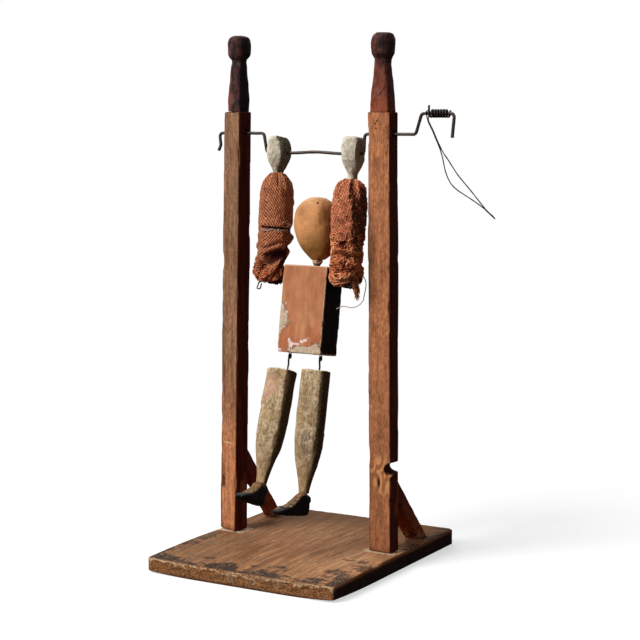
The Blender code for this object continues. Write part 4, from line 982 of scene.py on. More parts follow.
class TOY_OT_arms(bpy.types.Operator):
    """Whittle the arms and their cream hands."""

    bl_idname = "toy.arms"
    bl_label = "Arms and hands"

    def execute(self, context):
        for side, seed in both(81):
            node = side + "_arm"
            arm = clay(node, 0.5, 2)
            # The hand swells in front of and behind the bar, and on its right side
            points, _ = read(arm)
            x, y, z = points.T
            hand = np.exp(-(((z - 305) / 11) ** 2))
            y += hand * (y - BAR_Y) * np.where(y > BAR_Y, 0.32, 0.2)
            rightwards, leftwards = ramp(x, HAND_X[side], 5), ramp(-x, -HAND_X[side], 5)
            corner = ramp(z, 308, 9) ** 2
            if side == "left":
                x += rightwards * (hand * 2.2 - corner * 3.4) - leftwards * hand * 2.6
                y -= corner * ramp(y, BAR_Y, 6) * 2.4
            else:
                x += (rightwards * 0.2 - leftwards * 1.5) * hand
            # The hands are carved a little turned
            angle = hand * HAND_TURN
            off_x, off_y = x - HAND_X[side], y - BAR_Y
            x[:] = HAND_X[side] + off_x * np.cos(angle) - off_y * np.sin(angle)
            y[:] = BAR_Y + off_x * np.sin(angle) + off_y * np.cos(angle)
            write(arm, points)
            whittle(arm, 160, 0.35, 6, seed)
            edge = np.clip(stand_out(arm, 8), 0, 1)
            roughen(arm, 0.1 - edge * 0.25, (2.6, 0.16, seed + 1), (1.1, 0.06, seed + 2))
            smooth(arm, 2)
            settle(arm, node, 2.0)
            _, normals = read(arm)
            keep(arm, "right", ramp(normals[:, 0], 0.3 if side == "left" else 0.8, 0.25))
            dress(arm, node, cream_paint(side), side + "_arm_group")
        return {"FINISHED"}


def head_paint():
    paint = Paint("head_wood_paint", (9.6, 3.5, 248.8))
    hues = colours()
    cloud = paint.blotch(9, detail=4, shift=6)
    fine = paint.blotch(1.4, detail=5, rough=0.65)
    paint.colour = paint.varied(hues.head, cloud, 1.2)
    # Painted shade low on the right, and painted light on the top
    low = (paint.z - paint.x * 0.75 + cloud * 0.012).rise(0.012, -0.016)
    paint.coat(low * 0.85, (132, 88, 38))
    paint.coat(paint.z.rise(0.014, 0.023) * 0.6, (206, 158, 114))
    paint.coat(cloud.rise(0.54, 0.68) * 0.35, (150, 106, 62))
    specks = paint.cells(4.2, shift=1.4).rise(0.14, 0.07)
    paint.coat(specks * fine.rise(0.4, 0.52) * 0.7, (104, 56, 32))
    paint.coat(paint.near((5.8, -9.1, 19.8), 1.3), (84, 22, 14))
    paint.vary(fine, 0.9)
    # Painted shade on the right side
    paint.coat(paint.mask("right") * 0.75, (92, 54, 24))
    return paint.finish(fine * 0.3 + 0.45, fine + cloud, 0.12, 0.12)


def neck_paint():
    paint = Paint("neck_wood_paint")
    chip = paint.blotch(1.6, detail=5, rough=0.7)
    paint.colour = paint.mix(chip.rise(0.46, 0.6), (212, 192, 164), (142, 104, 74))
    paint.coat(paint.z.rise(0.225, 0.2238) * 0.8, (50, 30, 22))
    return paint.finish(0.6, chip, 0.3, 0.2)


class TOY_OT_head(bpy.types.Operator):
    """Smooth the plain egg head and chip its neck."""

    bl_idname = "toy.head"
    bl_label = "Head and neck"

    def execute(self, context):
        head = clay("head", 0.6, 16)
        points, _ = read(head)
        # The egg is fuller low on its right side
        x, y, z = points.T
        low = soft_step(z, 257, 237) * soft_step(z, 223, 232)
        x += low * soft_step(x, 2, 17) * 4.4
        y -= low * soft_step(y, 6, -9) * 1.4
        write(head, points)
        smooth(head, 8)
        bump_out(head, lumps(points, 8, 101) * 0.22 + lumps(points, 2.5, 102) * 0.05)
        settle(head, "head")
        dress(head, "head", head_paint(), "torso_group")
        neck = clay("neck_peg", 0.35, 2, "neck_wood")
        roughen(neck, 0.25, (2.0, 0.35, 103))
        settle(neck, "neck_peg")
        dress(neck, "neck_peg", neck_paint(), "torso_group")
        return {"FINISHED"}


def torso_paint():
    paint = Paint("torso_wood_paint", (9.9, -3.9, 209), (-9.4, 0, 0))
    hues = colours()
    lines, bands = grain(paint, 2, 1, 5)
    wash = paint.blotch(6, (1, 1, 2.2), 4, 0.6, 4)
    fine = paint.blotch(1.4, (1, 1, 1.6), 5, 0.7, 1)
    low = (paint.z + wash * 0.02).rise(-0.012, -0.034)
    paint.colour = paint.mix(low * 0.65, hues.torso, (170, 98, 66))
    paint.vary(wash, 0.8)
    paint.vary(lines, 0.45)
    paint.vary(fine, 0.5)
    smear = paint.blotch(8, (1, 1, 3), 4, 0.6, 7)
    paint.coat(smear.rise(0.46, 0.7) * 0.5, (196, 150, 104))
    paint.coat(smear.rise(0.44, 0.28) * 0.35, (146, 84, 58))
    paint.coat(fine.rise(0.62, 0.74) * 0.4, (116, 66, 46))
    ragged = paint.blotch(2.6, detail=5, rough=0.75, shift=2)
    chipped = (paint.mask("chip") + ragged * 1.5 - 0.75).rise(0.4, 0.46)
    ground = paint.mix(fine.rise(0.42, 0.6), hues.torso_chip, (178, 148, 120))
    ground = paint.mix(paint.mask("white"), ground, (222, 190, 180))
    ground = paint.varied(ground, ragged, 0.9)
    # A painted shadow round each chip, under the lifted paint's edge
    lifted = (paint.mask("chip") + ragged * 1.5 - 0.75).rise(0.3, 0.36) * 0.45
    paint.coat(lifted, (128, 74, 52))
    paint.coat(chipped, ground)
    rubbed = (paint.mask("edge") * 0.8 + ragged * 0.5).rise(0.58, 0.85)
    paint.coat(rubbed * 0.75, (206, 170, 140))
    paint.coat(paint.mask("edge").rise(-0.3, -0.9) * 0.5, (72, 42, 30))
    # The right side is painted nearly black as shade, less on rubbed edges
    side = paint.mask("right") * (1 - rubbed * 0.6)
    paint.coat(side, paint.varied((17, 10, 9), bands, 2))
    height = lines * 0.6 + wash * 0.5 + fine * 0.4 - chipped * 1.2
    return paint.finish(0.8, height, 0.25, 0.03)


# Where the paint is gone: the place, the reach, and how far the ground is bleached white
TORSO_CHIPS = (
    ((-8.5, -19.5, 192.0), (2.8, 6, 4.0), 0.1), ((-8.9, -20.6, 184.5), (8.4, 8, 9.5), 0.1),
    ((-8.6, -20.8, 177.5), (3.4, 6, 6.0), 0.1), ((-8.9, -22.0, 166.0), (2.0, 6, 12.0), 0.3),
    ((-2.4, -19.6, 189.0), (1.1, 4, 1.1), 0.1), ((-3.9, -19.6, 195.4), (0.9, 4, 0.9), 0.1),
    ((1.2, -23.6, 168.6), (1.1, 5, 2.4), 1.0), ((3.0, -23.6, 166.0), (2.2, 5, 2.2), 1.0),
    ((7.4, -23.5, 166.4), (3.2, 5, 1.1), 1.0), ((11.8, -23.4, 168.3), (1.9, 5, 1.5), 1.0),
    ((14.6, -23.4, 169.4), (2.4, 5, 1.2), 1.0), ((16.8, -23.4, 171.2), (0.9, 5, 0.8), 1.0),
    ((12.0, -24.4, 161.0), (11.0, 5, 4.6), 0.0), ((23.0, -24.3, 162.0), (6.5, 5, 6.0), 0.0),
    ((-7.4, -24.3, 160.0), (4.0, 5, 3.4), 0.8),
)


class TOY_OT_torso(bpy.types.Operator):
    """Carve the torso block and mark where its paint is chipped."""

    bl_idname = "toy.torso"
    bl_label = "Torso"

    def execute(self, context):
        torso = clay("torso_block", 0.6, 3, "torso_wood")
        points, _ = read(torso)
        edge = np.clip(stand_out(torso, 6), 0, 1)
        lift = -0.08 - edge * (0.05 + 0.35 * np.clip(lumps(points, 4, 113), 0, 1))
        roughen(torso, lift, (9, 0.16, 111), (1.5, 0.03, 112, (1, 1, 12)))
        settle(torso, "torso_block")
        points, _ = read(torso)
        chips = [(near_spot(points, spot, size), bleached) for spot, size, bleached in TORSO_CHIPS]
        keep(torso, "chip", np.max([chip for chip, _ in chips], 0))
        keep(torso, "white", np.clip(np.max([chip * bleached for chip, bleached in chips], 0) * 1.6, 0, 1))
        dress(torso, "torso_block", torso_paint(), "torso_group")
        return {"FINISHED"}


def leg_paint(side):
    left = side == "left"
    hip = (-4.2, -12.8, 155.2) if left else (22, -12.8, 155.2)
    paint = Paint(side + "_leg_paint", hip, (-20.8 if left else -11.8, 0, 0))
    hues = colours()
    patch = paint.blotch(5, (1, 1, 1.6), 5, 0.65, 2 if left else 8)
    fine = paint.blotch(1.5, (1, 1, 1.5), 5, 0.7, 5 if left else 1)
    speck = paint.blotch(0.9, (1, 1, 1.3), 4, 0.7, 9)
    paint.colour = paint.mix(patch.rise(0.4, 0.6) * 0.85, hue(hues.leg, 1.08), (138, 114, 80))
    paint.vary(speck, 2)
    paint.coat(fine.rise(0.52, 0.62) * 0.75, hues.leg_dark)
    pits = paint.cells(2.4, (1, 1, 1.3), 6).rise(0.24, 0.12) * patch.rise(0.4, 0.55)
    paint.coat(pits * 0.5, (72, 50, 34))
    paint.coat(fine.rise(0.44, 0.34) * 0.6, (210, 198, 176))
    if left:
        pink = paint.near((-6, -8, -26), 13, (0.8, 1, 1)) * patch.rise(0.3, 0.5)
        paint.coat(pink * 0.55, (198, 150, 128))
    else:
        bruise = paint.near((1, -8, -62), 11, (0.6, 1, 1)) * patch.rise(0.36, 0.54)
        paint.coat(bruise * 0.7, (98, 78, 74))
    ochre = paint.blotch(4, (1, 1, 2.5), 3, 0.6, 17).rise(0.54, 0.68)
    paint.coat(ochre * 0.5, (164, 124, 66))
    grey = paint.blotch(3, detail=4, shift=13).rise(0.56, 0.7)
    paint.coat(grey * 0.45, (112, 100, 96))
    paint.coat(paint.mask("edge").rise(-0.3, -0.9) * 0.6, (78, 56, 38))
    paint.coat(paint.z.rise(-0.06, -0.09) * 0.45, (146, 110, 66))
    rim = (paint.mask("edge") * 0.7 + speck * 0.4).rise(0.6, 0.85) * paint.z.rise(-0.022, -0.014)
    paint.coat(rim * 0.6, (214, 200, 176))
    # Painted light on the flank that turns from the lamp, and painted shade on the right side
    paint.shade(paint.mask("turned") * 0.5 + 1)
    dark = paint.mask("dark") + (fine - 0.5) * 0.7
    paint.coat(dark.rise(0.1, 0.7) * 0.75, (88, 64, 38))
    paint.coat(dark.rise(0.55, 1.05) * 0.9, (46, 32, 22))
    return paint.finish(speck * 0.3 + 0.6, fine + speck * 0.6, 0.14, 0.04)


def across(points):
    """How far right each point lies in its row, from -1 at the left edge to 1 at the right."""
    step = 4
    x, _, z = points.T
    rows = np.round(z / step).astype(int)
    steps = np.unique(rows)
    ends = np.array([(x[rows == row].min(), x[rows == row].max()) for row in steps])
    middle = np.interp(z, steps * step, ends.mean(1))
    half = np.interp(z, steps * step, (ends[:, 1] - ends[:, 0]) / 2)
    return (x - middle) / np.maximum(half, 0.1)


class TOY_OT_legs(bpy.types.Operator):
    """Whittle the legs with long knife facets."""

    bl_idname = "toy.legs"
    bl_label = "Legs"

    def execute(self, context):
        for side, seed in both(121):
            node = side + "_leg"
            leg = clay(node, 0.55, 3)
            whittle(leg, 90, 0.3, 12, seed)
            smooth(leg, 2)
            roughen(leg, 0, (5, 0.1, seed + 1, (1, 1, 2)), (1.8, 0.03, seed + 2))
            settle(leg, node)
            points, normals = read(leg)
            # Where the legs turn from the light: the right side gets painted shade, the flank before it
            # painted light
            right = across(points) * 0.5 + normals[:, 0] * 0.5
            keep(leg, "dark", soft_step(right, 0.62, 1.0))
            keep(leg, "turned", soft_step(right, 0.3, 0.66) * soft_step(right, 1.0, 0.74))
            dress(leg, node, leg_paint(side), side + "_leg_group")
        return {"FINISHED"}


def boot_paint(side):
    left = side == "left"
    paint = Paint(side + "_boot_paint")
    hues = colours()
    fine = paint.blotch(1.2, detail=5, rough=0.65, shift=3 if left else 8)
    patch = paint.blotch(3, detail=4, shift=6 if left else 1)
    paint.colour = paint.varied(hues.boot, patch, 2.4)
    ridge = (paint.mask("ridge") + fine - 0.5).rise(0.36, 0.56)
    olive = paint.mix(fine.rise(0.46, 0.58), hue(hues.boot_worn, 1.15), (84, 60, 40))
    olive = paint.mix(patch.rise(0.52, 0.62) * 0.8, olive, (40, 30, 22))
    olive = paint.mix(fine.rise(0.4, 0.32) * 0.8, olive, (196, 172, 140))
    paint.coat(ridge * 0.85, olive)
    paint.coat(patch.rise(0.56, 0.66) * 0.4, (58, 42, 30))
    # A grey-blue painted highlight on the tops of the toes
    toe = (paint.mask("toe") + fine * 0.8 - 0.4).rise(0.5, 0.85)
    paint.coat(toe * 0.7, (58, 61, 64))
    ankle = (paint.mask("ankle") + fine * 0.8 - 0.4).rise(0.4, 0.6)
    paint.coat(ankle * 0.8, (136, 98, 66))
    if left:
        paint.coat(paint.near((-0.7, -76.8, 62.1), 1.1), (12, 10, 10))
    else:
        chip = paint.near((12.8, -60, 50.5), 4.2, (1, 1.2, 0.8)) * fine.rise(0.3, 0.5)
        paint.coat(chip, (186, 150, 112))
    rubbed = (paint.mask("edge") * 0.5 + fine * 0.5).rise(0.56, 0.7)
    paint.coat(rubbed * 0.3, (92, 76, 60))
    # Painted shade on the right side
    paint.coat(paint.mask("right") * 0.8, (12, 9, 8))
    return paint.finish(fine * 0.4 + 0.55, fine + patch, 0.2, 0.04)


class TOY_OT_boots(bpy.types.Operator):
    """Whittle the black wedge boots and mark their worn ridges and the painted highlight on their toes."""

    bl_idname = "toy.boots"
    bl_label = "Boots"

    def execute(self, context):
        for side, seed in both(141):
            node = side + "_boot"
            boot = clay(node, 0.42, 3)
            whittle(boot, 90, 0.4, 7, seed)
            smooth(boot, 2)
            roughen(boot, -0.2, (3, 0.1, seed + 1))
            settle(boot, node)
            points, normals = read(boot)
            low, high = box(node)
            x, y, z = ((points - low) / (high - low)).T
            up = normals[:, 2]
            ridge = np.exp(-(((x - 0.5) / 0.34) ** 2)) * ramp(y, 0.2, 0.15)
            keep(boot, "ridge", ridge * np.clip(up * 1.6, 0, 1))
            keep(boot, "toe", ramp(-y, -0.22, 0.1) * np.clip(up * 1.2 - 0.1, 0, 1))
            keep(boot, "ankle", ramp(z, 0.9, 0.06))
            # The ankle reaches up to the leg
            points[:, 2] += ramp(z, 0.9, 0.08) * np.clip(up * 2, 0, 1) * 0.9
            write(boot, points)
            dress(boot, node, boot_paint(side), side + "_leg_group")
        return {"FINISHED"}


# Sleeves

SLEEVE_LEAN = math.radians(-7.13)
ARM_END = 97.8
ARM_RADIUS = 11.5
SLIT_SHARE = 0.51
SLIT_TWIST = 1.68
# Width, depth, start below the bar, the bar's middle in the hand, which way is outwards
SLEEVES = {"left": (23.2, 27.8, 15.2, -26.037, -1), "right": (21.0, 32.8, 19.0, 37.763, 1)}
# Share of the length from the cuff, shares of the width and depth, share swung outwards, share swung forwards
SLEEVE_ROWS = {
    "left": (
        (0.0, 0.374, 0.458, 0.0, 0.0), (0.035, 0.6, 0.66, 0.0, 0.0), (0.08, 0.82, 0.84, 0.0, 0.0),
        (0.15, 0.95, 0.96, 0.0, 0.0), (0.25, 0.97, 0.97, 0.01, 0.0), (0.35, 0.98, 0.98, 0.01, 0.0),
        (0.44, 0.98, 1.0, 0.01, 0.0), (0.505, 0.95, 0.98, 0.01, 0.0), (0.535, 0.9, 0.93, 0.01, 0.0),
        (0.57, 0.98, 1.0, 0.01, -0.01), (0.64, 0.94, 0.95, 0.02, 0.0), (0.71, 0.91, 0.88, 0.03, 0.01),
        (0.78, 0.88, 0.87, 0.05, 0.02), (0.85, 0.93, 0.92, 0.035, 0.03), (0.92, 0.95, 0.92, 0.025, 0.03),
        (1.0, 0.93, 0.9, 0.02, 0.03),
    ),
    "right": (
        (0.0, 0.417, 0.385, 0.0, 0.02), (0.035, 0.74, 0.74, 0.0, 0.04), (0.08, 0.88, 0.86, 0.0, 0.06),
        (0.15, 0.95, 0.93, 0.0, 0.07), (0.25, 0.98, 0.98, 0.0, 0.08), (0.35, 1.0, 1.0, 0.0, 0.08),
        (0.44, 0.99, 0.97, 0.0, 0.08), (0.52, 0.95, 0.89, 0.0, 0.09), (0.6, 0.89, 0.81, 0.0, 0.09),
        (0.67, 0.84, 0.75, 0.0, 0.09), (0.73, 0.84, 0.74, 0.0, 0.08), (0.79, 0.87, 0.78, 0.0, 0.07),
        (0.85, 0.9, 0.82, 0.0, 0.06), (0.91, 0.9, 0.82, 0.0, 0.06), (0.96, 0.86, 0.78, 0.0, 0.06),
        (1.0, 0.8, 0.72, 0.0, 0.06),
    ),
}
# How far the hem rises on its outer and its inner side
HEM_RISES = (7.8, 4.6)
# How far left and right the cloth and the loose yarns may reach, so that each pose stays clear
CLOTH_REACH = {"left": (-38.0, -14.1), "right": (28.7, 49.3)}
YARN_REACH = {"left": (-38.0, -11.2), "right": (28.7, 50.2)}
# Folds: height and width, then angles round the arm and shares from the cuff, in turn, of where they run
FOLDS = {
    "left": (
        (-2.2, 0.8, -103, 0.5, -56, 0.508, 14, 0.497), (0.7, 2.2, -110, 0.47, -56, 0.478, 15, 0.468),
        (1.0, 1.3, -104, 0.535, -50, 0.542, 10, 0.54), (-1.3, 2.4, 14, 0.5, 60, 0.5),
        (1.2, 2.6, 60, 0.575, 20, 0.575, -20, 0.59), (-1.2, 1.3, 0, 0.625, -40, 0.645, -95, 0.69),
        (-2.4, 2.4, 12, 0.655, 60, 0.67, 100, 0.69), (1.0, 1.8, 10, 0.64, -40, 0.675, -110, 0.73),
        (-3.8, 2.9, 8, 0.735, -40, 0.765, -82, 0.79), (-2.0, 1.6, -20, 0.7, -55, 0.725, -85, 0.75),
        (2.4, 1.6, -8, 0.79, -45, 0.865, -78, 0.94, -92, 1.0),
        (-2.2, 1.3, 15, 0.82, -20, 0.87, -45, 0.94, -60, 1.0), (-3.4, 4.6, 5, 0.84, 40, 0.84, 85, 0.88),
        (1.6, 1.4, -95, 0.79, -112, 0.86, -135, 0.95), (-1.8, 1.0, -88, 0.83, -100, 0.9, -108, 0.99),
        (-1.8, 1.1, -112, 0.8, -128, 0.88, -150, 0.97), (1.4, 1.2, -120, 0.84, -140, 0.92, -160, 0.98),
        (-1.5, 1.0, -75, 0.9, -80, 1.0), (1.5, 1.4, 25, 0.9, -10, 0.93, -35, 1.0),
        (1.3, 1.6, -128, 0.66, -150, 0.7), (-1.1, 1.2, -54, 0.0, -54, 0.045, -51, 0.12),
        (1.1, 1.6, -80, 0.0, -82, 0.05, -86, 0.15), (1.1, 1.6, -25, 0.0, -22, 0.05, -16, 0.15),
        (-1.2, 1.1, -108, 0.0, -112, 0.08), (-1.2, 1.1, 5, 0.0, 8, 0.08),
        (-0.8, 2.2, -100, 0.16, -70, 0.24, -40, 0.36), (0.6, 2.6, -50, 0.14, -20, 0.24, 0, 0.42),
        (-0.6, 1.6, -120, 0.36, -90, 0.4, -60, 0.41), (-1.2, 1.8, 60, 0.0, 62, 0.12),
        (-1.2, 1.8, 120, 0.0, 122, 0.12), (-1.2, 2.0, 60, 0.6, 110, 0.7, 170, 0.8),
        (1.2, 2.2, 50, 0.7, 110, 0.8, 170, 0.9), (-1.6, 1.8, 40, 0.83, 100, 0.9, 150, 0.97),
        (0.8, 2.6, 50, 0.25, 110, 0.36, 160, 0.48), (-1.0, 2.0, 90, 0.45, 140, 0.52, 180, 0.6),
    ),
    "right": (
        (-0.9, 1.2, -78, 0.0, -80, 0.05, -84, 0.13), (-0.9, 1.2, -42, 0.0, -41, 0.06, -38, 0.13),
        (1.3, 1.5, -98, 0.0, -100, 0.05, -106, 0.16), (1.4, 1.5, -60, 0.0, -60, 0.05, -60, 0.16),
        (1.3, 1.5, -22, 0.0, -20, 0.05, -12, 0.16), (-0.8, 2.2, -105, 0.12, -80, 0.24, -50, 0.4),
        (0.7, 2.4, -70, 0.12, -50, 0.24, -35, 0.44), (-0.5, 2.2, -25, 0.14, -20, 0.3, -28, 0.5),
        (-0.8, 1.6, -112, 0.3, -85, 0.4, -60, 0.47), (0.8, 1.6, -105, 0.44, -70, 0.5, -40, 0.55),
        (-1.2, 1.4, 10, 0.36, 30, 0.42, 60, 0.46), (-1.9, 1.5, -108, 0.58, -86, 0.6, -62, 0.6, -45, 0.65),
        (1.2, 1.6, -105, 0.64, -75, 0.655, -40, 0.69, 0, 0.7),
        (-2.6, 1.6, -100, 0.69, -82, 0.715, -60, 0.7, -40, 0.75), (-1.6, 1.8, -30, 0.58, -5, 0.62, 30, 0.66),
        (1.4, 1.6, -110, 0.76, -85, 0.79, -55, 0.81, -15, 0.84),
        (-2.2, 1.4, -112, 0.83, -90, 0.86, -68, 0.85, -40, 0.89), (-1.8, 1.6, -10, 0.74, 10, 0.8, 40, 0.82),
        (1.2, 1.4, -100, 0.9, -70, 0.93, -30, 0.94), (-1.6, 1.2, -80, 0.96, -50, 0.97, -20, 0.97),
        (1.1, 1.6, -118, 0.68, -122, 0.8, -116, 0.95), (-1.4, 1.5, 60, 0.0, 62, 0.14),
        (-1.4, 1.5, 130, 0.0, 128, 0.14), (-1.4, 2.0, 40, 0.58, 100, 0.66, 160, 0.72),
        (1.2, 2.0, 40, 0.68, 100, 0.76, 160, 0.82), (-1.6, 1.8, 40, 0.8, 100, 0.86, 160, 0.9),
        (0.7, 2.6, 50, 0.22, 110, 0.34, 160, 0.46),
    ),
}
# Dark places, and the left sleeve's reddish bunch: their reach, then where they run, as above
SHADED = {
    "left": (
        (3.0, 5, 0.75, -40, 0.79, -66, 0.805), (2.6, -24, 0.745, -52, 0.77),
        (4.8, 16, 0.82, 0, 0.92, -18, 1.0), (1.0, -48, 0.93, -62, 1.0), (1.0, -100, 0.88, -106, 0.98),
        (0.8, -122, 0.86, -130, 0.97), (0.9, -76, 0.89, -84, 0.97), (0.9, -104, 0.497, -56, 0.505, 14, 0.494),
        (1.2, 12, 0.66, 60, 0.68),
    ),
    "right": (
        (1.6, -92, 0.61, -80, 0.62, -62, 0.6), (1.8, -80, 0.74, -70, 0.775, -60, 0.82),
        (1.5, -20, 0.545, -12, 0.6, -2, 0.66), (1.3, -36, 0.87, -28, 0.9), (1.2, -112, 0.76, -108, 0.8),
        (1.2, -50, 0.69, -38, 0.72), (1.0, -100, 0.86, -84, 0.88),
    ),
}


def sleeve_base(side, share, angle):
    """The sleeve's plain tube, in its arm's frame, at shares from the cuff and angles round the arm."""
    width, depth, start, _, outwards = SLEEVES[side]
    marks, *columns = np.array(SLEEVE_ROWS[side]).T
    half_x, half_y, out, forward = (np.interp(share, marks, column) for column in columns)
    cosine, sine = np.cos(angle), np.sin(angle)
    square_x = np.sign(cosine) * np.abs(cosine) ** 0.8
    square_y = np.sign(sine) * np.abs(sine) ** 0.8
    down = start + share * (ARM_END - start)
    aside = half_x * width / 2 * square_x + out * width * outwards + 1.6 * down / 96
    back = half_y * depth / 2 * square_y - forward * depth
    rise = np.where(cosine * outwards > 0, *HEM_RISES) * cosine**2
    rise = rise * share * np.maximum(0, 2 * share - 1)
    return np.stack([aside, back, rise - down], -1)


def off_line(side, share, angle, run):
    """Distance over the cloth from a line, given as angles and shares in turn."""
    length = ARM_END - SLEEVES[side][2]
    nearest = np.full(share.shape, 1e9)
    for angle_a, share_a, angle_b, share_b in zip(run[::2], run[1::2], run[2::2], run[3::2]):
        ax, ay = math.radians(angle_a) * ARM_RADIUS, share_a * length
        dx, dy = math.radians(angle_b) * ARM_RADIUS - ax, share_b * length - ay
        for lap in (-2 * math.pi, 0, 2 * math.pi):
            px = (angle + lap) * ARM_RADIUS - ax
            py = share * length - ay
            along = np.clip((px * dx + py * dy) / (dx * dx + dy * dy), 0, 1)
            nearest = np.minimum(nearest, np.hypot(px - along * dx, py - along * dy))
    return nearest


def shade_share(side, share, angle):
    """1 in the dark places of a sleeve, fading to 0 round them."""
    shades = [np.exp(-((off_line(side, share, angle, run) / reach) ** 2)) for reach, *run in SHADED[side]]
    return np.max(shades, 0)


def place_sleeve(side, local, reach):
    """Puts points of an arm's frame where the arm hangs, in metres, and keeps them in their reach."""
    hand = SLEEVES[side][3]
    x = np.clip(local[..., 0], reach[side][0] - hand, reach[side][1] - hand)
    y, z = local[..., 1], local[..., 2]
    cosine, sine = math.cos(SLEEVE_LEAN), math.sin(SLEEVE_LEAN)
    return np.stack([x + hand, y * cosine - z * sine + BAR_Y, y * sine + z * cosine + BAR_Z], -1) * MM


def round_arm(angle, radius=1):
    """The way out from the arm at an angle round it."""
    return np.stack([np.cos(angle) * radius, np.sin(angle) * radius, 0 * angle], -1)


def sleeve_skin(side, share, angle, lift=0.0):
    """A point of the folded cloth, in the arm's frame, lifted off it."""
    step = 1e-3
    base = sleeve_base(side, share, angle)
    down = sleeve_base(side, np.minimum(share + step, 1), angle)
    down -= sleeve_base(side, np.maximum(share - step, 0), angle)
    normal = np.cross(sleeve_base(side, share, angle + step) - sleeve_base(side, share, angle - step), down)
    normal /= np.maximum(np.linalg.norm(normal, axis=-1), 1e-9)[..., None]
    normal *= np.sign((normal * round_arm(angle)).sum(-1))[..., None]
    height = np.zeros(share.shape)
    for tall, width, *run in FOLDS[side]:
        height += tall * np.exp(-((off_line(side, share, angle, run) / width) ** 2))
    flat = np.stack([np.cos(angle) * 11, np.sin(angle) * 11, share * 82], -1).reshape(-1, 3)
    loose = 0.25 + 0.75 * ramp(share, 0.5, 1 / 3)
    height += lumps(flat, 5.0, 7).reshape(share.shape) * 0.45 * loose
    height += lumps(flat, 1.7, 8).reshape(share.shape) * (0.1 if side == "left" else 0.18)
    height = np.clip(height, -4.0, 1.7) * np.clip(share / 0.01 + 0.3, 0, 1)
    cloth = base + normal * (height + lift)[..., None]
    # The hem is drawn up unevenly
    uneven = lumps(round_arm(angle, 9).reshape(-1, 3), 3.2, 9).reshape(share.shape)
    cloth[..., 2] += (0.9 + uneven).clip(0, 2.4) * ramp(share, 0.86, 0.14) ** 2
    return cloth, height


TWILL_SLOPE = math.radians(50)
TWILL_RIBS_AROUND = 34
TWILL_STITCH = 2.4


def twill_radius():
    """The radius at which a whole number of ribs runs round the sleeve."""
    return TWILL_RIBS_AROUND * sizes().rib / MM / (2 * math.pi * math.sin(TWILL_SLOPE))


def weave(side, share, angle):
    """Where points lie on the flat cloth. Below its slit the left sleeve's cloth is twisted."""
    length = ARM_END - SLEEVES[side][2]
    twist = SLIT_TWIST * (side == "left") * np.maximum(0, share * length - SLIT_SHARE * length)
    return angle * twill_radius() + twist, share * length


def rib_wave(side, share, angle):
    aside, down = weave(side, share, angle)
    run = aside * math.sin(TWILL_SLOPE) - down * math.cos(TWILL_SLOPE)
    return np.sin(run * 2 * math.pi / (sizes().rib / MM))


def twill_paint(side):
    """Twill: pale ribs of plied yarn over dark red gaps, in stitches and flecked with loose fibre."""
    paint = Paint(side + "_wool_paint")
    hues = colours()
    left = side == "left"
    flat = paint.node("UVMap", {"uv_map": "cloth"})
    u = paint.node("SeparateXYZ", inputs={0: flat})
    v = u.output(1)
    wander = paint.blotch(2.8, shift=3)
    run = (u * math.sin(TWILL_SLOPE) - v * math.cos(TWILL_SLOPE)) * (2 * math.pi / sizes().rib)
    rib = (run + (wander - 0.5) * 1.8).sine() * 0.5 + 0.5
    cross = (u * math.cos(TWILL_SLOPE) + v * math.sin(TWILL_SLOPE)) * (2 * math.pi / (TWILL_STITCH * MM))
    stitch = (cross + run * 0.5 + (wander - 0.5) * 4).sine() * 0.5 + 0.5
    fleck = paint.blotch(0.95, rough=0.7)
    cloud = paint.blotch(6, detail=4, shift=2)
    share = (0.5, 0.3, 1.6) if left else (0.3, 0.3, 2.1)
    raised = rib * share[0] + stitch * share[1] + (fleck - 0.5) * share[2] + 0.06
    pale = (204, 136, 92) if left else (230, 158, 122)
    mid = hue(hues.sleeve, 0.82 if left else 1.18)
    deep = (88, 38, 24) if left else (132, 64, 44)
    paint.colour = paint.mix(raised.rise(0.14, 0.5), deep, mid)
    paint.coat(raised.rise(0.46, 0.9), pale)
    paint.vary(cloud, 1.1)
    # Painted light: the cloth is painted paler between its front and its right side, where it turns from the
    # lamp
    paint.shade(paint.mask("turned") * (0.35 if left else 0.9) + 1)
    fold = paint.mask("fold")
    # Painted shade deep in the folds
    paint.coat(fold.rise(-0.3, -1.7) * 0.85, hues.sleeve_shade, 0.8)
    # Painted highlight on the folds' ridges
    paint.coat(fold.rise(0.7, 1.6) * fleck.rise(0.4, 0.6) * 0.5, pale)
    if left:
        red = paint.z.rise(0.232, 0.214) * 0.55
        paint.coat(red * fleck.rise(0.6, 0.4), (128, 38, 24))
    else:
        # The cloth under the curls is painted darker, as shade among them
        under = paint.z.rise(0.244, 0.236) * 0.4
        paint.coat(under * fleck.rise(0.62, 0.44), (110, 40, 26))
    paint.coat((paint.mask("shade") + (fleck - 0.5) * 0.5).rise(0.15, 0.8) * 0.95, (56, 10, 6), 0.7)
    # Painted shade on the right side
    paint.coat(paint.mask("right") * (0.55 if left else 0.85), hues.sleeve_shade, 0.8)
    height = rib * 0.8 + stitch * 0.4 + fleck
    return paint.finish(0.95, height, 0.26, 0.04, {"Sheen Weight": 0.06})


def yarn_paint():
    paint = Paint("frayed_yarn_paint")
    hues = colours()
    tint = paint.mask("tint")
    paint.colour = paint.mix(tint.rise(0.05, 0.5), (84, 26, 16), hue(hues.yarn, 1.12))
    paint.coat(tint.rise(0.6, 1.05), (232, 160, 110))
    paint.coat(tint.rise(1.4, 2), (118, 116, 120))
    paint.coat(tint.rise(2.4, 3), (226, 206, 184))
    fuzz = paint.blotch(0.8)
    paint.vary(fuzz, 2.2)
    return paint.finish(0.95, fuzz, 0.15, 0.04, {"Sheen Weight": 0.06})


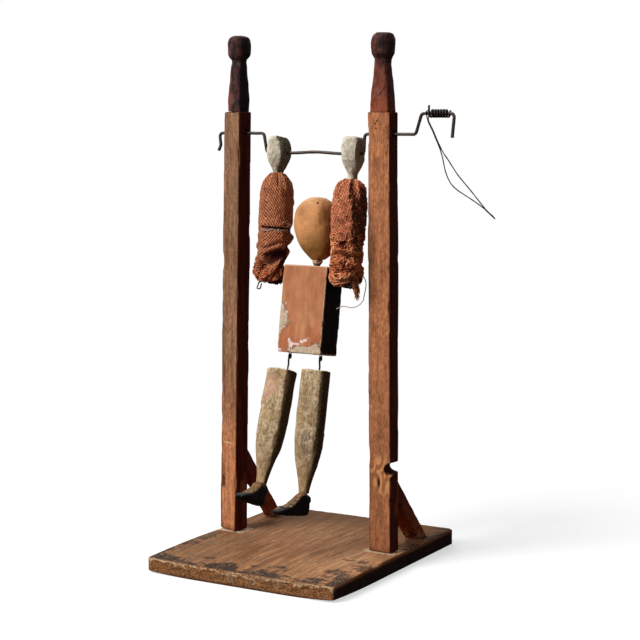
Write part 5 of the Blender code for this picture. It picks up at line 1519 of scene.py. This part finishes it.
def strand(points, thick):
    """A thin three-sided tube along points: its corners and faces."""
    sides = 3
    points = np.asarray(points, dtype=float)
    ahead = np.gradient(points, axis=0)
    ahead /= np.maximum(np.linalg.norm(ahead, axis=1), 1e-9)[:, None]
    first = np.cross(ahead, (0.31, 0.52, 0.79))
    first /= np.linalg.norm(first, axis=1)[:, None]
    second = np.cross(ahead, first)
    corners, faces = [], []
    last = len(points) - 1
    for step in range(last + 1):
        slim = thick * (0.45 if step in (0, last) else 1)
        for side in range(sides):
            turn = 2 * math.pi * side / sides
            out = math.cos(turn) * first[step] + math.sin(turn) * second[step]
            corners.append(points[step] + slim * out)
            a, b = step * sides + side, step * sides + (side + 1) % sides
            if step < last:
                faces.append((a, b, b + sides, a + sides))
    faces.append(tuple(reversed(range(sides))))
    faces.append(tuple(last * sides + side for side in range(sides)))
    return corners, faces


def yarn_piece(side, strands):
    """One piece of many strands, each a line of points in the arm's frame, a thickness and a tint."""
    corners, faces, tints = [], [], []
    for points, thick, tint in strands:
        more, sides = strand(points, thick)
        faces += [tuple(corner + len(corners) for corner in face) for face in sides]
        corners += more
        tints += [tint] * len(more)
    mesh = bpy.data.meshes.new(side + "_sleeve_yarns")
    mesh.from_pydata(place_sleeve(side, np.array(corners), YARN_REACH).tolist(), [], faces)
    piece = new_piece(side + "_sleeve_yarns", mesh)
    mend(piece, bpy.ops.mesh.normals_make_consistent, inside=False)
    keep(piece, "tint", tints)
    return piece


def on_cloth(side, run, lift):
    """A line over the cloth through angles and shares, lifted off it, in the arm's frame."""
    angles, shares = np.array(run, dtype=float).T
    steps = np.linspace(0, len(run) - 1, 6 * (len(run) - 1) + 1)
    angle = np.radians(np.interp(steps, range(len(run)), angles))
    return sleeve_skin(side, np.interp(steps, range(len(run)), shares), angle, lift)[0]


# What the sleeves are cut from, flat, in metres
AROUND, DOWN = 264, 170


class TOY_OT_sleeves(bpy.types.Operator):
    """Sew the wool sleeves: gathered cuffs, a slit, creases and a bunched hem, with twill ribs."""

    bl_idname = "toy.sleeves"
    bl_label = "Wool sleeves"

    def execute(self, context):
        rounds = np.linspace(-math.pi, math.pi, AROUND, endpoint=False)
        angle, share = np.meshgrid(rounds, np.linspace(0, 1, DOWN))
        rows = np.arange(AROUND * DOWN).reshape(DOWN, AROUND)
        beside = np.roll(rows, -1, 1)
        faces = np.stack([rows[:-1], rows[1:], beside[1:], beside[:-1]], -1).reshape(-1, 4)
        for side, yarns in (("left", left_yarns), ("right", right_yarns)):
            points, height = sleeve_skin(side, share, angle, 0.05 * rib_wave(side, share, angle))
            mesh = bpy.data.meshes.new(side + "_wool_sleeve")
            spots = place_sleeve(side, points, CLOTH_REACH).reshape(-1, 3)
            mesh.from_pydata(spots.tolist(), [], faces.tolist())
            sleeve = new_piece(side + "_wool_sleeve", mesh)
            flat = mesh.uv_layers.new(name="cloth")
            u, v = (part.ravel() * MM for part in weave(side, share, angle))
            face_u = u[faces]
            seam = (face_u.max(1) - face_u.min(1)) > 30 * MM
            behind = face_u[seam] < face_u[seam].mean(1)[:, None]
            face_u[seam] += behind * 2 * math.pi * twill_radius() * MM
            flat.data.foreach_set("uv", np.stack([face_u.ravel(), v[faces].ravel()], 1).ravel())
            keep(sleeve, "fold", height.ravel())
            keep(sleeve, "shade", shade_share(side, share, angle).ravel())
            # The right side is marked for painted shade, and the flank between it and the front for painted
            # light
            right = read(sleeve)[1][:, 0]
            keep(sleeve, "right", ramp(right, 0.92 if side == "left" else 0.86, 0.12))
            keep(sleeve, "turned", soft_step(right, 0.3, 0.75) * soft_step(right, 0.97, 0.84))
            apply(sleeve, "SOLIDIFY", thickness=sizes().cloth, offset=-1.0, use_even_offset=False)
            dress(sleeve, side + "_sleeve", twill_paint(side), side + "_arm_group")
            loose = yarns()
            dress(loose, None, yarn_paint(), side + "_arm_group")
        return {"FINISHED"}


# Pale loose threads on the left sleeve: angle and share of each end
LEFT_THREADS = (
    (10, 0.52, -22, 0.44), (14, 0.505, -12, 0.425), (4, 0.455, -16, 0.5),
    (12, 0.48, -8, 0.452), (8, 0.53, -4, 0.5), (-30, 0.455, -14, 0.438),
)


def left_yarns():
    """The grey-blue yarn along the slit, the pale loose threads over it and the frayed hem."""
    chance = np.random.default_rng(201)
    pick = chance.uniform
    strands = []

    def lay(run, lift, thick, tint):
        strands.append((on_cloth("left", run, lift), thick, tint))

    for _ in range(60):
        start = pick(-97, 12)
        row = pick(0.512, 0.527)
        run = [(start, row), (start + 3, row + 0.004), (start + pick(5, 9), row - 0.003)]
        tint = chance.choice([2.0, 2.2, 2.6, 3.0, 0.4])
        lay(run, pick(0.2, 0.6), pick(0.16, 0.3), tint)
    for start, row, end, end_row in LEFT_THREADS:
        middle = ((start + end) / 2 + 2, (row + end_row) / 2 - 0.006)
        lay([(start, row), middle, (end, end_row)], 0.7, 0.12, 3.0)
    for _ in range(150):
        start = pick(-180, 180)
        row = pick(0.93, 1.0)
        sway = pick(-9, 9)
        run = [(start, row - 0.06), (start + sway, row - 0.02), (start + pick(-9, 9), row)]
        lay(run, pick(0.1, 0.9), pick(0.16, 0.34), pick(0, 1))
    strands += hem_fray("left", chance, 110)
    for _ in range(70):
        middle = math.radians(pick(-165, -75))
        line = curl(chance, "left", middle, pick(0.8, 0.985), pick(0.7, 1.6))
        strands.append((line, pick(0.22, 0.42), pick(0.05, 0.95)))
    return yarn_piece("left", strands)


def spline_of(points, steps):
    return np.array([tuple(point) for point in through(points, steps)])


def hem_fray(side, chance, count):
    """Short ends of yarn that close the hem below the cloth, kept off the wire through the shoulders."""
    pick = chance.uniform
    strands = []
    for _ in range(count):
        angle = math.radians(chance.choice([-1, 1]) * pick(38, 142))
        start, edge = sleeve_skin(side, np.array([0.975, 1.0]), np.array([angle, angle]))[0]
        inward = -np.array([math.cos(angle), math.sin(angle), 0])
        turn_in = pick(1.0, 5.0)
        low = edge + inward * turn_in * 0.5 + np.array([pick(-1, 1), 0, -pick(0.0, 1.3)])
        end = edge + inward * turn_in + np.array([pick(-1, 1), 0, pick(-0.8, 0.8)])
        strands.append((spline_of([start, edge, low, end], 3), pick(0.2, 0.42), pick(0.0, 0.8)))
    return strands


def curl(chance, side, middle, row, size, high=1.0):
    """One springy curl of yarn lying on the cloth."""
    turns, start, drift = chance.uniform(0.55, 1.3), chance.uniform(0, 2 * math.pi), chance.uniform(-1.8, 1.8)
    steps = np.linspace(0, 1, 13)
    bow = start + steps * turns * 2 * math.pi
    angle = middle + (np.cos(bow) * size + drift * steps) / ARM_RADIUS
    share = np.clip(row + (np.sin(bow) * size * 0.9) / 79, 0.0, 0.997)
    lift = 0.1 + high * chance.uniform(0.2, 1.2) * np.sin(steps * math.pi)
    return sleeve_skin(side, share, angle)[0] + round_arm(angle) * lift[:, None]


def right_yarns():
    """Tangled curls of the frayed lower sleeve, with a frayed lock and a dark strand at its right."""
    chance = np.random.default_rng(202)
    pick = chance.uniform
    strands = []

    def lay(run, lift, thick, tint):
        strands.append((on_cloth("right", run, lift), thick, tint))

    for _ in range(sizes().curls):
        facing = chance.random() < 0.7
        middle = math.radians(pick(-136, 32) if facing else pick(32, 224))
        row = pick(0.6, 0.985) if chance.random() < 0.88 else pick(0.53, 0.62)
        # In the sleeve's shaded places the curls lie smaller and flatter and are painted darker, as shade
        dark = shade_share("right", np.array([row]), np.array([middle]))[0]
        big = chance.random() < 0.6
        size = pick(1.8, 3.8) if big else pick(0.7, 1.5)
        line = curl(chance, "right", middle, row, size * (1 - 0.4 * dark), 1 - 0.8 * dark)
        tint = np.clip(pick(0.3, 1.15) - 1.1 * dark, 0.0, 1.1)
        strands.append((line, pick(0.38, 0.66) if big else pick(0.22, 0.4), tint))
    for _ in range(170):
        # Looped knots in the yarn make the upper cloth rough
        middle = math.radians(pick(-150, 40))
        line = curl(chance, "right", middle, pick(0.01, 0.58), pick(0.3, 0.6), 0.35)
        strands.append((line, pick(0.16, 0.26), pick(0.45, 1.0)))
    for _ in range(16):
        run = [(-116 + pick(-4, 4), 0.7 + 0.02 * chance.random()), (-119, 0.8), (-115, 0.93)]
        lay(run, pick(0.2, 0.7), 0.2, chance.choice([0.6, 1.0, 3.0]))
    for index in range(64):
        # The frayed lock: loose yarn ends that come together in a wisp
        top = np.array([pick(6.0, 11.6), pick(-10.0, -4.0), pick(-91.0, -83.0)])
        reach = 1.0 if index % 3 else pick(0.4, 0.8)
        end = np.array([pick(10.4, 12.4), pick(-4.0, 0.5), -104.0 + pick(-2.6, 4.4)])
        end = top + (end - top) * reach
        steps = np.linspace(0, 1, 13)[:, None]
        bow = np.array([pick(0.2, 1.4), pick(-1.4, 0.8), 0]) * np.sin(steps * math.pi)
        curls = 1.2 * np.sin(steps * pick(12, 22) + pick(0, 6)) * (1.1 - steps) * np.array([1, 1, 0.4])
        strands.append((top + (end - top) * steps + bow + curls, pick(0.22, 0.44), pick(0.1, 1.0)))
    for drop in (0.0, 0.7, 1.3):
        # A grey end of yarn loops below the hem
        loop = [(4.0, -7, -90.5), (4.3 + drop, -7.4, -95.6), (6.4, -7.4, -97.6 + drop)]
        loop += [(9.2 - drop, -6.6, -96.0), (8.6, -6, -91.0)]
        strands.append((spline_of(loop, 4), 0.17, 1.9 + drop * 0.8))
    strands.append((spline_of([(12.2, -2.6, -88.5), (12.9, -1.4, -91.5), (13.2, -0.2, -95.2)], 4), 0.42, 0.0))
    for _ in range(60):
        start = pick(-180, 180)
        row = pick(0.95, 1.0)
        run = [(start, row - 0.05), (start + pick(-9, 9), row - 0.02), (start + pick(-9, 9), row)]
        lay(run, pick(0.1, 0.8), pick(0.2, 0.4), pick(0.1, 1))
    strands += hem_fray("right", chance, 120)
    return yarn_piece("right", strands)


# Stage


class TOY_OT_stage(bpy.types.Operator):
    """Set the pale floor and the soft studio light."""

    bl_idname = "toy.stage"
    bl_label = "Floor and light"

    def execute(self, context):
        bpy.ops.object.select_all(action="DESELECT")
        bpy.ops.mesh.primitive_plane_add(size=8, location=(0, 0, 0))
        floor = context.object
        floor.name = "floor"
        floor.data.materials.append(floor_paint())
        aim = Vector((0.0, 0.0, 0.18))
        power = sizes().key_power
        for name, way, distance, width, energy in (
            ("key_light", (-0.37, -0.7, 0.61), 2.5, 1.3, power),
            ("back_light", (-0.55, 0.75, 0.36), 2.6, 1.6, power * 0.4),
        ):
            place = aim + Vector(way).normalized() * distance
            rotation = (aim - place).to_track_quat("-Z", "Y").to_euler()
            bpy.ops.object.light_add(type="AREA", location=place, rotation=rotation)
            lamp = context.object
            lamp.name = name
            lamp.data.size = width
            lamp.data.energy = energy
        world = bpy.data.worlds.new("studio")
        context.scene.world = world
        world.use_nodes = True
        sky = Tree(world.node_tree)
        camera = sky.node("LightPath", output="Is Camera Ray")
        seen = camera.most(camera.output("Is Transmission Ray")).most(camera.output("Is Glossy Ray"))
        strength = sky.node("MapRange", {}, {"Value": seen, "To Min": 0.18, "To Max": 1.0})
        glow = sky.node("Background", {}, {"Color": (1, 1, 1, 1), "Strength": strength})
        sky.node("OutputWorld", {}, {"Surface": glow})
        context.scene.view_settings.view_transform = "Standard"
        return {"FINISHED"}


def floor_paint():
    """White to the camera with the toy's soft shadow, and duller to the toy, whose dark sides stay dark."""
    paint = Paint("floor_paint")
    seen = paint.node("LightPath", output=0)
    reach = paint.node("VectorMath", {"operation": "LENGTH"}, {0: paint.where}, 1)
    far = reach.rise(0.18, 0.42)
    lit = paint.mix(far, (0.5, 0.5, 0.5, 1), (0, 0, 0, 1))
    glow = paint.mix(far, (0.58, 0.58, 0.58, 1), (1, 1, 1, 1))
    paint.colour = paint.mix(seen, (0.12, 0.12, 0.12, 1), lit)
    fixed = {"Emission Color": paint.mix(seen, (0, 0, 0, 1), glow), "Emission Strength": 1}
    return paint.finish(0.9, None, 0, 0, fixed)


class TOY_PT_panel(bpy.types.Panel):
    """Lists the toy's pieces, colours and sizes."""

    bl_label = "Crank acrobat"
    bl_idname = "TOY_PT_panel"
    bl_space_type = "VIEW_3D"
    bl_region_type = "UI"
    bl_category = "Toy"

    def draw(self, context):
        for step in STEPS:
            self.layout.operator(step.bl_idname)
        for group in (colours(), sizes()):
            box = self.layout.box()
            for field in group.bl_rna.properties:
                if field.identifier not in ("rna_type", "name"):
                    box.prop(group, field.identifier)


STEPS = (
    TOY_OT_camera, TOY_OT_thread, TOY_OT_base, TOY_OT_posts, TOY_OT_finials, TOY_OT_braces, TOY_OT_wires,
    TOY_OT_arms, TOY_OT_sleeves, TOY_OT_torso, TOY_OT_head, TOY_OT_legs, TOY_OT_boots, TOY_OT_stage,
)
CLASSES = (ToyColours, ToySizes, *STEPS, TOY_PT_panel)


def register():
    for item in CLASSES:
        bpy.utils.register_class(item)
    bpy.types.Scene.toy_colours = bpy.props.PointerProperty(type=ToyColours)
    bpy.types.Scene.toy_sizes = bpy.props.PointerProperty(type=ToySizes)


def unregister():
    del bpy.types.Scene.toy_sizes
    del bpy.types.Scene.toy_colours
    for item in reversed(CLASSES):
        bpy.utils.unregister_class(item)


def main():
    """Makes every piece in order."""
    register()
    for step in STEPS:
        group, name = step.bl_idname.split(".")
        getattr(getattr(bpy.ops, group), name)()


if __name__ == "__main__":
    main()
